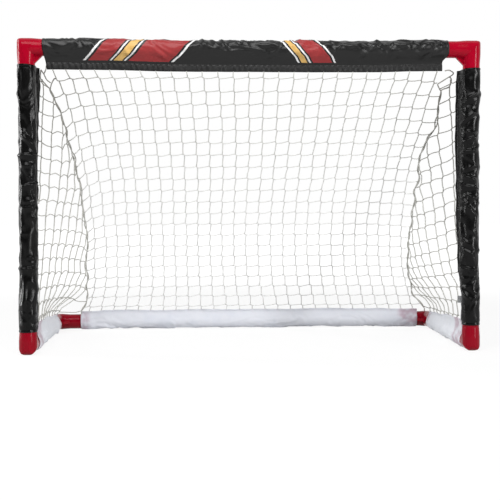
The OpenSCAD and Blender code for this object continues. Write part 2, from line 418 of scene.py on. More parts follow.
# ---- Finishes ----
# Tones are linear, lengths are metres. A pattern is its patches per metre, its octaves and the
# strength of the finer ones. A tone sets in between two levels of a pattern, up to a share, and
# a relief is a height and a strength. rougher is what the patterns add to the roughness.


def grey(tone: float) -> Triple:
    """A neutral colour."""
    return (tone, tone, tone)


@dataclass(frozen=True)
class RedPlastic:
    """Semi-gloss moulded plastic of the elbows, darker close to the floor."""

    colour: Triple = (0.35, 0.0005, 0.015)
    deep: Triple = (0.27, 0.0004, 0.009)
    shaded: Triple = (0.20, 0.0004, 0.006)
    scuffed: Triple = (0.70, 0.06, 0.08)
    flow: float = 38.0
    flow_relief: Pair = (0.0006, 0.3)
    deep_at: Pair = (0.35, 0.75)
    deep_share: float = 0.5
    streaks: Triple = (60, 60, 700)
    scuff: Triple = (1.0, 4.0, 0.7)
    scuff_at: Pair = (0.64, 0.74)
    scuff_share: float = 0.12
    shaded_to: float = 0.11
    shaded_share: float = 0.6
    skin: Pair = (900.0, 2.0)
    skin_relief: Pair = (0.00006, 0.15)
    roughness: float = 0.16
    rougher: Pair = (0.08, 0.12)
    gloss: float = 0.12

    def build(self) -> bpy.types.Material:
        """Makes the material.

        Returns:
            The material.
        """
        tree = Tree("red_plastic")
        spot = tree.place()
        flow = tree.grain(spot, self.flow)
        scuff = tree.grain(tree.place(self.streaks), *self.scuff).step(*self.scuff_at)
        low = tree.axis(spot, "Z").step(self.shaded_to, 0.0)
        tone = tree.blend(self.colour, self.deep, flow.step(*self.deep_at) * self.deep_share)
        tone = tree.blend(tone, self.scuffed, scuff * self.scuff_share)
        tone = tree.blend(tone, self.shaded, low * self.shaded_share)
        skin = tree.bump(tree.grain(spot, *self.skin), *self.skin_relief)
        return tree.finish({
            "Base Color": tone, "Specular IOR Level": self.gloss,
            "Roughness": self.roughness + flow * self.rougher[0] + scuff * self.rougher[1],
            "Normal": tree.bump(flow, *self.flow_relief, skin)})


@dataclass(frozen=True)
class PipePlastic:
    """White extruded pipe."""

    colour: Triple = (0.82, 0.82, 0.79)
    cloudy: Triple = (0.72, 0.72, 0.68)
    cloud: float = 30.0
    cloudy_at: Pair = (0.4, 0.8)
    cloudy_share: float = 0.5
    skin: Pair = (1200.0, 2.0)
    skin_relief: Pair = (0.00004, 0.4)
    roughness: float = 0.38
    rougher: float = 0.1

    def build(self) -> bpy.types.Material:
        """Makes the material.

        Returns:
            The material.
        """
        tree = Tree("tube_plastic")
        spot = tree.place()
        cloud = tree.grain(spot, self.cloud)
        clouded = cloud.step(*self.cloudy_at) * self.cloudy_share
        return tree.finish({
            "Base Color": tree.blend(self.colour, self.cloudy, clouded),
            "Roughness": self.roughness + cloud * self.rougher,
            "Normal": tree.bump(tree.grain(spot, *self.skin), *self.skin_relief)})


@dataclass(frozen=True)
class PrintedBar:
    """One slanted bar of the crossbar's print, in metres along the sleeve."""

    start: float
    width: float
    colour: Triple
    lean: float
    low: float = 0.015
    high: float = 0.056

    def mask(self, u: Signal, v: Signal) -> Signal:
        """Where the bar is printed.

        Args:
            u: Place along the sleeve.
            v: Place round it.

        Returns:
            1 inside the bar, else 0.
        """
        slanted = u - v * self.lean - (self.start - self.low * self.lean)
        inside = (slanted > 0.0) * (slanted < self.width)
        return inside * ((v > self.low) * (v < self.high))


@dataclass(frozen=True)
class BlackNylon:
    """Satin woven nylon with a stitched hem, printed with slanted bars where bars are given.

    The stitches' line lies seam_off from the hem's band and wanders, and dash is the visible part
    of a stitch. The print is worn off in bald patches.
    """

    name: str
    length: float
    girth: float
    hem: float
    bars: tuple[PrintedBar, ...] = ()
    gloss: float = 0.18
    roughness: float = 0.22
    pucker: float = 0.12
    colour: Triple = grey(0.001)
    worn: Triple = grey(0.0025)
    hem_colour: Triple = grey(0.0012)
    thread: Triple = grey(0.03)
    patches: Triple = (26.0, 4.0, 0.6)
    worn_at: Pair = (0.35, 0.75)
    hem_soft: float = 0.001
    seam_off: float = 0.0012
    seam_wander: float = 0.0008
    thread_width: float = 0.0005
    stitch: float = 0.0034
    dash: float = 0.55
    bald_at: Pair = (0.62, 0.8)
    bald_share: float = 0.35
    weave: float = 0.0011
    weave_relief: Pair = (0.00005, 0.4)
    gather: float = 0.0085
    gather_wander: float = 9.0
    gather_height: float = 0.0012
    crinkles: Triple = (60.0, 0.0, 0.4)
    crinkle_relief: Pair = (0.0006, 0.4)
    rougher: float = 0.06
    rougher_hem: float = 0.4
    rougher_print: float = 0.08

    def build(self) -> bpy.types.Material:
        """Makes the material.

        Returns:
            The material.
        """
        tree = Tree(self.name)
        u, v = tree.sheet(self.length, self.girth)
        spot = tree.place()
        patch = tree.grain(spot, *self.patches)
        crinkle = tree.grain(spot, *self.crinkles)
        front, back = (way.step(self.hem + self.hem_soft, self.hem - self.hem_soft)
                       for way in (v, self.girth - v))
        hem = (front + back).clamp()
        tone = tree.blend(self.colour, self.worn, patch.step(*self.worn_at))
        tone = tree.blend(tone, self.hem_colour, hem)
        seam = v - (self.hem + self.seam_off) + patch * self.seam_wander
        dash = (u / self.stitch + patch).part() < self.dash
        tone = tree.blend(tone, self.thread, (seam.size() < self.thread_width) * dash)
        rough = self.roughness + patch * self.rougher + hem * (self.pucker * self.rougher_hem)
        masks = [bar.mask(u, v) for bar in self.bars]
        for bar, mask in zip(self.bars, masks):
            kept = 1 - patch.step(*self.bald_at) * self.bald_share
            tone = tree.blend(tone, bar.colour, mask * kept)
        if masks:
            rough = rough + sum(masks[1:], start=masks[0]).clamp() * self.rougher_print
        threads = (u.waves(self.weave) * v.waves(self.weave)).lift()
        gather = (u * (TURN / self.gather) + patch * self.gather_wander).sine() * hem
        puckered = tree.bump(gather.lift(), self.gather_height, self.pucker,
                             tree.bump(threads, *self.weave_relief))
        return tree.finish({
            "Base Color": tone, "Roughness": rough, "Specular IOR Level": self.gloss,
            "Normal": tree.bump(crinkle, *self.crinkle_relief, puckered)})


@dataclass(frozen=True)
class WhiteNylon:
    """Thin white woven nylon. The red arms inside tint it where it lies on them.

    The tint is blush_share all over an arm's reach, and stronger by blush_touch where they touch.
    """

    name: str
    length: float
    girth: float
    arms: tuple[Triple, ...]
    colour: Triple = (0.72, 0.735, 0.79)
    shade: Triple = (0.62, 0.65, 0.73)
    blush: Triple = (0.38, 0.19, 0.27)
    patches: Triple = (30.0, 4.0, 0.6)
    shade_at: Pair = (0.4, 0.8)
    shade_share: float = 0.6
    reach: float = 0.066
    fade: float = 0.014
    touches: Pair = (55.0, 2.0)
    touch_at: Pair = (0.38, 0.62)
    blush_share: float = 0.1
    blush_touch: float = 0.5
    weave: float = 0.0010
    weave_relief: Pair = (0.00004, 0.5)
    crinkles: Triple = (240.0, 3.0, 0.6)
    crinkle_relief: Pair = (0.0004, 0.4)
    roughness: float = 0.55
    rougher: float = 0.12
    sheen: Pair = (0.1, 0.4)

    def build(self) -> bpy.types.Material:
        """Makes the material.

        Returns:
            The material.
        """
        tree = Tree(self.name)
        u, v = tree.sheet(self.length, self.girth)
        spot = tree.place()
        patch = tree.grain(spot, *self.patches)
        tone = tree.blend(self.colour, self.shade, patch.step(*self.shade_at) * self.shade_share)
        touch = tree.grain(spot, *self.touches).step(*self.touch_at)
        for centre in self.arms:
            near = tree.gap(spot, centre).step(self.reach, self.reach - self.fade)
            tone = tree.blend(tone, self.blush, near * (self.blush_share + touch * self.blush_touch))
        threads = (u.waves(self.weave) * v.waves(self.weave)).lift()
        return tree.finish({
            "Base Color": tone, "Roughness": self.roughness + patch * self.rougher,
            "Normal": tree.bump(tree.grain(spot, *self.crinkles), *self.crinkle_relief,
                                tree.bump(threads, *self.weave_relief)),
            "Sheen Weight": self.sheen[0], "Sheen Roughness": self.sheen[1]})


@dataclass(frozen=True)
class TwineFinish:
    """Braided polyester twine, with painted shade that darkens it towards the top, near the net's
    upper corners and in the plait's grooves.
    """

    name: str
    # The tone goes from low at the floor to the darker high at the top, and darkens near the corners
    # and in the grooves: all painted shade.
    low: Triple = (0.86, 0.86, 0.84)
    high: Triple = (0.62, 0.62, 0.59)
    soil: Triple = (0.24, 0.23, 0.205)
    dust: Triple = grey(0.3)
    groove: Triple = grey(0.2)
    heights: Pair = (0.16, 0.42)
    corners: tuple[Triple, ...] = ((-0.315, -0.13, 0.42), (0.31, -0.13, 0.41))
    soiled: float = 0.15
    soil_share: float = 0.75
    dirt: Triple = (45.0, 4.0, 0.6)
    dust_at: Pair = (0.5, 0.85)
    dust_share: float = 0.25
    plait: float = 0.0022
    plait_turns: int = 2
    plait_relief: Pair = (0.0002, 0.7)
    groove_from: float = 0.5
    groove_share: float = 0.22
    fuzz: Pair = (1800.0, 2.0)
    fuzz_relief: Pair = (0.00008, 0.5)
    roughness: float = 0.82

    def build(self) -> bpy.types.Material:
        """Makes the material.

        Returns:
            The material.
        """
        tree = Tree(self.name)
        u, v = tree.sheet()
        along, round_it = u * (TURN / self.plait), v * (self.plait_turns * TURN)
        plait = ((along + round_it).sine() * (along - round_it).sine()).lift()
        spot = tree.place()
        # Painted shade: the twine darkens towards the top.
        tone = tree.blend(self.low, self.high, tree.axis(spot, "Z").step(*self.heights))
        # Painted shade: the twine darkens near the net's upper corners.
        for corner in self.corners:
            near = tree.gap(spot, corner).step(self.soiled, 0.0)
            tone = tree.blend(tone, self.soil, near * self.soil_share)
        dusty = tree.grain(spot, *self.dirt).step(*self.dust_at)
        tone = tree.blend(tone, self.dust, dusty * self.dust_share)
        # Painted shade in the plait's grooves.
        tone = tree.blend(tone, self.groove, plait.step(self.groove_from, 0.0) * self.groove_share)
        fuzz = tree.bump(tree.grain(spot, *self.fuzz), *self.fuzz_relief)
        return tree.finish({"Base Color": tone, "Roughness": self.roughness,
                            "Normal": tree.bump(plait, *self.plait_relief, fuzz)})


@dataclass(frozen=True)
class TapeFinish:
    """Grey woven tape of the sewn tab."""

    colour: Triple = (0.36, 0.37, 0.38)
    soil: Triple = (0.16, 0.16, 0.17)
    dirt: float = 160.0
    soil_at: Pair = (0.45, 0.75)
    soil_share: float = 0.7
    rib: float = 0.0009
    rib_relief: Pair = (0.00008, 0.6)
    roughness: float = 0.7

    def build(self) -> bpy.types.Material:
        """Makes the material.

        Returns:
            The material.
        """
        tree = Tree("tab_tape")
        spot = tree.place()
        ribs = tree.axis(spot, "Z").waves(self.rib).lift()
        dirt = tree.grain(spot, self.dirt).step(*self.soil_at)
        return tree.finish({
            "Base Color": tree.blend(self.colour, self.soil, dirt * self.soil_share),
            "Roughness": self.roughness, "Normal": tree.bump(ribs, *self.rib_relief)})


@dataclass(frozen=True)
class BackdropFinish:
    """White studio paper that glows for the camera, less so near the goal, where it takes shadow."""

    paper: Triple = grey(0.7)
    strength: float = 1.08
    glow: float = 0.82
    near: float = 0.6
    far: float = 1.5

    def build(self) -> bpy.types.Material:
        """Makes the material.

        Returns:
            The material.
        """
        tree = Tree("studio_paper")
        paper = tree.add("BsdfDiffuse", {"Color": self.paper})
        light = tree.add("Emission", {"Color": grey(1), "Strength": self.strength})
        gap = tree.gap(tree.add("TexCoord", output="Object"))
        share = gap.step(self.near, self.far) * (1 - self.glow) + self.glow
        return tree.close(tree.add("MixShader", {0: tree.shown() * share, 1: paper, 2: light}))


@dataclass(frozen=True)
class RoomLight:
    """Grey light from all round. The backdrop is seen white, and mirrored behind the goal."""

    strength: float = 0.15
    white: float = 1.0
    behind: Pair = (-0.35, 0.15)

    def build(self) -> bpy.types.World:
        """Makes the world.

        Returns:
            The world.
        """
        tree = Tree("studio", world=True)
        room, white = (tree.add("Background", {"Color": grey(1), "Strength": strength})
                       for strength in (self.strength, self.white))
        behind = tree.axis(tree.add("TexCoord", output="Generated"), "Y").step(*self.behind)
        return tree.close(tree.add("MixShader", {0: tree.shown(behind), 1: room, 2: white}))


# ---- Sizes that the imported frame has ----


@dataclass(frozen=True)
class GoalSizes:
    """Centre lines and tube radius of the goal's frame, in metres."""

    post_x: float = 0.3417
    frame_y: float = 0.1412
    base_z: float = 0.0138
    bar_z: float = 0.4672
    tube_r: float = 0.01065

    def corners(self) -> tuple[Triple, ...]:
        """Places of the four lower elbows."""
        return tuple((x * self.post_x, y * self.frame_y, self.base_z)
                     for x in (-1, 1) for y in (-1, 1))


SIZES = GoalSizes()


# ---- Cloth sleeves ----


@dataclass(frozen=True)
class Fold:
    """A crease in a sleeve, in millimetres: along the sleeve, and round it from the front.

    bow bends it and sway makes it snake, by an amount and over a wavelength. A valley runs beside
    it, shallower by a share and so many widths away. A fold reaches past its ends by a share of
    its length, and fades out there.
    """

    along: Pair
    around: Pair
    height: float = 1.0
    width: float = 3.0
    bow: float = 0.0
    sway: Pair = (0.0, 20.0)
    valley: Pair = (0.6, 1.7)
    fade: float = 0.35
    past: float = 0.15

    def rise(self, s: np.ndarray, a: np.ndarray) -> np.ndarray:
        """Height of the crease.

        Args:
            s: Places along the sleeve, in millimetres.
            a: Places round the sleeve, in millimetres.

        Returns:
            Heights in millimetres.
        """
        dx, dy = self.along[1] - self.along[0], self.around[1] - self.around[0]
        length = math.hypot(dx, dy)
        k = ((s - self.along[0]) * dx + (a - self.around[0]) * dy) / length**2
        off = ((s - self.along[0]) * dy - (a - self.around[0]) * dx) / length
        off = off - self.bow * 4 * k * (1 - k)
        beat = TURN * k * length / self.sway[1]
        off = off - self.sway[0] * (np.sin(beat) + 0.5 * np.sin(1.7 * beat + 1))
        taper = (ease_all((k + self.past) / self.fade)
                 * ease_all((1 + self.past - k) / self.fade))
        share, beside = self.valley
        ridge, valley = (np.exp(0.25 - np.sqrt(((off - away * self.width) / self.width) ** 2 + 0.06))
                         for away in (0.0, beside))
        return self.height * taper * (ridge - share * valley)


@dataclass(frozen=True)
class Relief:
    """Everything that makes a sleeve's cloth uneven, in millimetres.

    slack and wrinkle are the heights of its wide waves and of its creases, which are longer
    along the sleeve by stretch. count random folds of about a depth lie within span, and gain
    multiplies all folds. wave, drift and crease are the sizes of the noises' patches. turning and
    lean bend the creases, sharp narrows them, and apart keeps the seeds' noises from each other.
    """

    folds: tuple[Fold, ...]
    slack: float
    wrinkle: float
    stretch: float
    seed: int
    count: int
    depth: float
    span: Pair
    gain: float = 1.0
    around: Pair = (-14.0, 56.0)
    lengths: Pair = (10.0, 36.0)
    widths: Pair = (3.0, 6.5)
    bows: Pair = (-3.0, 3.0)
    depths: Pair = (0.5, 1.4)
    tilt: float = 0.9
    wave: Pair = (38.0, 17.0)
    drift: Pair = (60.0, 30.0)
    crease: float = 13.0
    turning: float = 4.0
    lean: float = 0.6
    sharp: float = 2.6
    apart: float = 17.3

    def scattered(self) -> tuple[Fold, ...]:
        """Random creases of the kind that loose cloth on a tube has.

        Returns:
            The creases.
        """
        dice = random.Random(self.seed)
        made = []
        for _ in range(self.count):
            s = dice.uniform(*self.span)
            a = dice.uniform(*self.around)
            length = dice.uniform(*self.lengths)
            turn = dice.gauss(0.0, self.tilt)
            made.append(Fold((s, s + length * math.cos(turn)), (a, a + length * math.sin(turn)),
                             self.depth * dice.uniform(*self.depths), dice.uniform(*self.widths),
                             dice.uniform(*self.bows)))
        return tuple(made)

    def rise(self, s: np.ndarray, a: np.ndarray) -> np.ndarray:
        """Height of the cloth over its smooth shape.

        Args:
            s: Places along the sleeve, in millimetres.
            a: Places round the sleeve, in millimetres.

        Returns:
            Heights in millimetres.
        """
        total = np.zeros_like(s)
        for fold in self.folds + self.scattered():
            total += self.gain * fold.rise(s, a)
        shift = self.seed * self.apart
        for k, (x, y) in enumerate(zip(s, a)):
            wide = noise.noise((x / self.wave[0] + shift, y / self.wave[1], shift))
            turned = noise.noise((x / self.drift[0], y / self.drift[1], shift + 5)) * self.turning
            line = noise.noise((x / (self.crease * self.stretch) + turned,
                                y / self.crease - turned * self.lean, shift + 9))
            total[k] += self.slack * wide + self.wrinkle * (1 - abs(line) * self.sharp)
        return total


@dataclass(frozen=True)
class Station:
    """One point of a sleeve's cross-section, in millimetres.

    p runs from the tube towards the hem, q to the sleeve's front side. round is 1 on the part
    that goes round the tube and hem is 1 at the hem's edge. arc is the way from the hem's edge,
    and around the place round the tube.
    """

    p: float
    q: float
    arc: float
    around: float
    round: float
    hem: float
    normal: Pair


@dataclass(frozen=True)
class Section:
    """Cross-section of a sleeve, in millimetres: round the tube, then both layers in a hem."""

    radius: float = 13.6
    meet: float = 20.0
    edge: float = 33.6
    band: float = 10.0
    gap: float = 0.45
    puff: float = 0.95
    spacing: float = 1.75
    arc_steps: int = 24

    def _half(self) -> list[Pair]:
        """The front half, from the hem's edge to the top of the tube.

        Returns:
            Points (p, q).
        """
        stitch = self.edge - self.band
        points = [(self.edge, 0.0), (self.edge - 0.3, 0.6 * self.puff),
                  (self.edge - 0.25 * self.band, self.puff),
                  (self.edge - 0.75 * self.band, self.puff), (stitch, self.gap)]
        if stitch > self.meet + 2:
            points.append((0.5 * (stitch + self.meet), self.gap + 0.25))
        points.append((self.meet, self.gap + 0.5))
        start = math.acos(min(1.0, self.radius / (self.meet + 2)))
        for k in range(self.arc_steps + 1):
            angle = start + (math.pi - start) * k / self.arc_steps
            points.append((self.radius * math.cos(angle), self.radius * math.sin(angle)))
        points[-1] = (-self.radius, 0.0)
        return points

    def stations(self) -> list[Station]:
        """The whole section as evenly spaced points. The last one closes the loop.

        Returns:
            The points, from the hem's edge round the tube and back to the edge.
        """
        half = self._half()
        for _ in range(2):
            cut = [tuple((1 - t) * a[n] + t * b[n] for n in (0, 1))
                   for a, b in zip(half, half[1:]) for t in (0.25, 0.75)]
            half = [half[0], *cut, half[-1]]
        path = half + [(p, -q) for p, q in reversed(half[:-1])]
        far = [0.0, *accumulate(map(math.dist, path, path[1:]))]
        count = 2 * round(far[-1] / self.spacing / 2)
        marks = np.linspace(0.0, far[-1], count + 1)
        spots = np.column_stack([np.interp(marks, far, values) for values in zip(*path)]).tolist()
        spots[0] = spots[-1] = (self.edge, 0.0)
        made = []
        for n, (p, q) in enumerate(spots):
            before, after = spots[n - 1 if n else count - 1], spots[n + 1 if n < count else 1]
            tangent = Vector((after[0] - before[0], after[1] - before[1])).normalized()
            out = (1.0, 0.0) if n in (0, count) else (tangent[1], -tangent[0])
            angle = math.atan2(-p, q) if q >= 0 else math.pi - math.atan2(-p, -q)
            made.append(Station(
                p, q, far[-1] * n / count, self.radius * angle,
                ease((self.meet - p) / (self.meet - 0.35 * self.radius)),
                ease((p - self.radius * 0.9) / (self.edge - self.radius * 0.9)), out))
        return made

    def girth(self) -> float:
        """Length once round the section, in metres."""
        return self.stations()[-1].arc * MM


@dataclass
class Sleeve:
    """Cloth sewn round one tube.

    origin is the tube's centre where the sleeve's length is counted from, along the tube's
    direction, hem the direction from the tube to the hem and front the side that is seen most.
    arms are the lengths at both ends that lie on an elbow's arm. Functions of the place along
    the sleeve: swing turns the section towards the front, pull draws it towards the hem, deep
    lengthens the hem and wave moves the hem to the front. The two slants are functions of the
    distance towards the hem.

    The cloth stays off the tube or an elbow's arm, of radius arm, by play, and take_up is how far
    it needs from an arm to the tube. calm is the folds' share at a mouth and how far that reaches.
    A mouth has a roll, then a groove of stitches, each with its height, distance from the rim and
    width. The hem puckers by a pitch that wanders over pucker_drift, crumples in patches and
    flutters over a length. All lengths are millimetres, but weld, at which the seam's points are
    joined, is metres.
    """

    name: str
    node: str
    slot: Slot
    origin: Vector
    along: Vector
    hem: Vector
    front: Vector
    length: float
    section: Section
    relief: Relief
    tubes: tuple[str, ...]
    arms: Pair
    swing: Curve = lambda s: 0.0
    pull: Table = ((0, 2.3), (600, 2.3))
    deep: Curve = lambda s: 0.0
    wave: Curve = lambda s: 0.0
    start_slant: Curve = lambda p: 0.0
    end_slant: Curve = lambda p: 0.0
    pucker: float = 0.45
    pucker_pitch: float = 8.0
    pucker_drift: float = 21.0
    crumple: Pair = (6.0, 5.0)
    flutter: float = 13.0
    spacing: float = 1.8
    cloth: float = 0.4
    arm: float = 13.0
    play: float = 0.08
    take_up: float = 25.0
    calm: Pair = (0.35, 14.0)
    roll: Triple = (0.35, 1.0, 1.2)
    groove: Triple = (0.3, 4.5, 0.9)
    weld: float = 0.00002
    side: Vector = field(init=False)

    def __post_init__(self) -> None:
        """Works out the direction that the sleeve's front side faces."""
        across = self.hem.cross(self.along).normalized()
        self.side = across if across.dot(self.front) > 0 else -across

    @property
    def flat(self) -> Pair:
        """Length and girth of the cloth, in metres."""
        return self.length * MM, self.section.girth()

    def edge_point(self, s: float, inset: float = 0.8) -> Vector:
        """A point a little inside the hem's edge, from a place along in millimetres."""
        return self._spot(s, self.section.edge + self.deep(s) - inset, self.wave(s))

    def edge_at(self, place: float) -> Vector:
        """A point just inside the hem's edge.

        Args:
            place: Its coordinate along the tube, in metres.

        Returns:
            The point. Past the sleeve's ends it goes straight on.
        """
        axis = tuple(self.along).index(1.0)
        point = self.edge_point(hold((place - self.origin[axis]) / MM, self.length))
        point[axis] = place
        return point

    def loose(self, s: float) -> float:
        """1 where only the thinner tube fills the sleeve, 0 on the elbows' arms."""
        return (ease((s - self.arms[0]) / self.take_up)
                * ease((self.length - self.arms[1] - s) / self.take_up))

    def drawn(self, s: float) -> float:
        """How far the net draws the sleeve over towards the hem, in millimetres."""
        return self.loose(s) * along_table(self.pull, s)

    def _spot(self, s: float, p: float, q: float) -> Vector:
        """A point in the goal's frame.

        Args:
            s: Place along the sleeve, in millimetres.
            p: Distance towards the hem, in millimetres.
            q: Distance to the front side, in millimetres.

        Returns:
            The point.
        """
        angle = self.swing(s)
        c, w = math.cos(angle), math.sin(angle)
        p += self.drawn(s)
        return (self.origin + self.along * (s * MM) + self.hem * ((p * c - q * w) * MM)
                + self.side * ((q * c + p * w) * MM))

    def build(self, finish: bpy.types.Material) -> None:
        """Models the cloth and dresses it.

        Args:
            finish: The cloth's material.
        """
        stations = self.section.stations()
        columns = round(self.length / self.spacing)
        rows = len(stations) - 1
        deselect()
        bpy.ops.mesh.primitive_grid_add(x_subdivisions=columns, y_subdivisions=rows, size=2,
                                        calc_uvs=True)
        grid = bpy.context.object
        mesh = grid.data
        picks = [stations[round(0.5 * (v.co.y + 1) * rows)] for v in mesh.vertices]
        places = np.array([self._place(0.5 * (v.co.x + 1), at) for v, at in zip(mesh.vertices, picks)])
        rise = self.relief.rise(places, np.array([at.around for at in picks]))
        for vertex, at, s, d in zip(mesh.vertices, picks, places, rise):
            vertex.co = self._shape(float(s), at, float(d))
        mesh.uv_layers[0].name = MAP
        with editing(grid):
            bpy.ops.mesh.remove_doubles(threshold=self.weld)
            bpy.ops.mesh.normals_make_consistent(inside=False)
        wall = grid.modifiers.new("cloth", "SOLIDIFY")
        wall.thickness = self.cloth * MM
        wall.offset = -1.0
        apply_modifiers(grid)
        bpy.ops.object.shade_smooth()
        settle(grid, self.name, finish, self.slot, self.node)
        self.section.girth()

    def _place(self, u: float, at: Station) -> float:
        """Millimetres along the sleeve of a grid point at a share of its length."""
        return mix(self.start_slant(at.p), self.length - self.end_slant(at.p), u)

    def _shape(self, s: float, at: Station, rise: float) -> Vector:
        """Where one point of the cloth goes.

        Args:
            s: Place along the sleeve, in millimetres.
            at: The point of the section.
            rise: Height of the relief there, in millimetres.

        Returns:
            The point in the goal's frame.
        """
        rim = min(s - self.start_slant(at.p), self.length - self.end_slant(at.p) - s)
        calm = mix(self.calm[0], 1.0, ease(rim / self.calm[1]))
        roll = self.roll[0] * bell(rim, *self.roll[1:]) - self.groove[0] * bell(rim, *self.groove[1:])
        filled = mix(self.arm, SIZES.tube_r / MM, self.loose(s)) + self.cloth + self.play
        room = math.hypot(at.p + self.drawn(s), at.q) - filled
        lift = max((rise * calm + roll) * at.round, -max(0.0, room))
        p, q = at.p + at.normal[0] * lift, at.q + at.normal[1] * lift
        band = ease((at.p - (self.section.edge - self.section.band)) / 1.5)
        seed = self.relief.seed
        drift = 0.8 * noise.noise((s / self.pucker_drift, 3.1, seed))
        beat = abs(math.sin(math.pi * (s / self.pucker_pitch + drift)))
        crumple = 0.5 * noise.noise((s / self.crumple[0], at.p / self.crumple[1], seed * 3.3))
        q *= 1 + self.pucker * (beat - 0.35) * band + crumple * band
        q += self.wave(s) * at.hem + 0.5 * at.hem * noise.noise((s / self.flutter, 8.8, seed))
        p += self.deep(s) * at.hem
        return self._spot(s, p, q)


# ---- Net ----


@dataclass
class StrandMesh:
    """Collects strands as thin tubes, with a UV map in metres along and 0 to 1 round.

    Their thickness varies by a noise with so many lumps per metre.
    """

    sides: int = 6
    lumps: float = 260.0
    points: list[Vector] = field(default_factory=list)
    faces: list[tuple[int, ...]] = field(default_factory=list)
    maps: list[tuple[Pair, ...]] = field(default_factory=list)

    def strand(self, course: Sequence[Vector], radius: float, swell: float = 0.12,
               steps: int = 2) -> None:
        """Adds one strand.

        Args:
            course: Points that its centre line runs through.
            radius: The strand's radius.
            swell: How much thicker it gets at random, as a share.
            steps: Pieces of the curve between two points.
        """
        path = smooth_path(course, steps)
        ring = self.sides
        base = len(self.points)
        normal = (path[1] - path[0]).normalized().orthogonal().normalized()
        far = 0.0
        marks = []
        for k, point in enumerate(path):
            tangent = (path[min(k + 1, len(path) - 1)] - path[max(k - 1, 0)]).normalized()
            normal = (normal - tangent * normal.dot(tangent)).normalized()
            across = tangent.cross(normal)
            if k:
                far += (point - path[k - 1]).length
            marks.append(far)
            r = radius * (1 + swell * noise.noise(point * self.lumps))
            for n in range(ring):
                turn = TURN * n / ring
                self.points.append(point + normal * (r * math.cos(turn))
                                   + across * (r * math.sin(turn)))
        for k in range(len(path) - 1):
            a, b = base + k * ring, base + (k + 1) * ring
            for n in range(ring):
                m = (n + 1) % ring
                self.faces.append((a + n, a + m, b + m, b + n))
                self.maps.append(tuple((marks[k + up], (n + on) / ring)
                                       for up, on in ((0, 0), (0, 1), (1, 1), (1, 0))))
        last = base + (len(path) - 1) * ring
        for start, place, order in ((base, 0.0, range(ring)[::-1]), (last, far, range(ring))):
            self.faces.append(tuple(start + n for n in order))
            self.maps.append(tuple((place, n / ring) for n in order))

    def build(self, name: str, finish: bpy.types.Material, node: str) -> None:
        """Makes the strands into one smooth piece.

        Args:
            name: Its name.
            finish: Its material.
            node: The CAD node that it stands for.
        """
        mesh = bpy.data.meshes.new(name)
        mesh.from_pydata([tuple(p) for p in self.points], [], self.faces)
        flat = [value for face in self.maps for pair in face for value in pair]
        mesh.uv_layers.new(name=MAP).data.foreach_set("uv", flat)
        made = link(name, mesh)
        pick(made)
        bpy.ops.object.shade_smooth()
        settle(made, name, finish, Slot.TWINE, node)


def smooth_path(points: Sequence[Vector], steps: int) -> list[Vector]:
    """Runs a smooth curve through points.

    Args:
        points: The points.
        steps: Pieces between two of them.

    Returns:
        The curve's points.
    """
    path = []
    for k in range(len(points) - 1):
        a, b = points[k], points[k + 1]
        before = points[k - 1] if k else a - (b - a)
        after = points[k + 2] if k + 2 < len(points) else b + (b - a)
        for n in range(steps):
            t = n / steps
            path.append(0.5 * ((2 * a) + (b - before) * t
                               + (2 * before - 5 * a + 4 * b - after) * t**2
                               + (3 * a - before - 3 * b + after) * t**3))
    path.append(points[-1].copy())
    return path


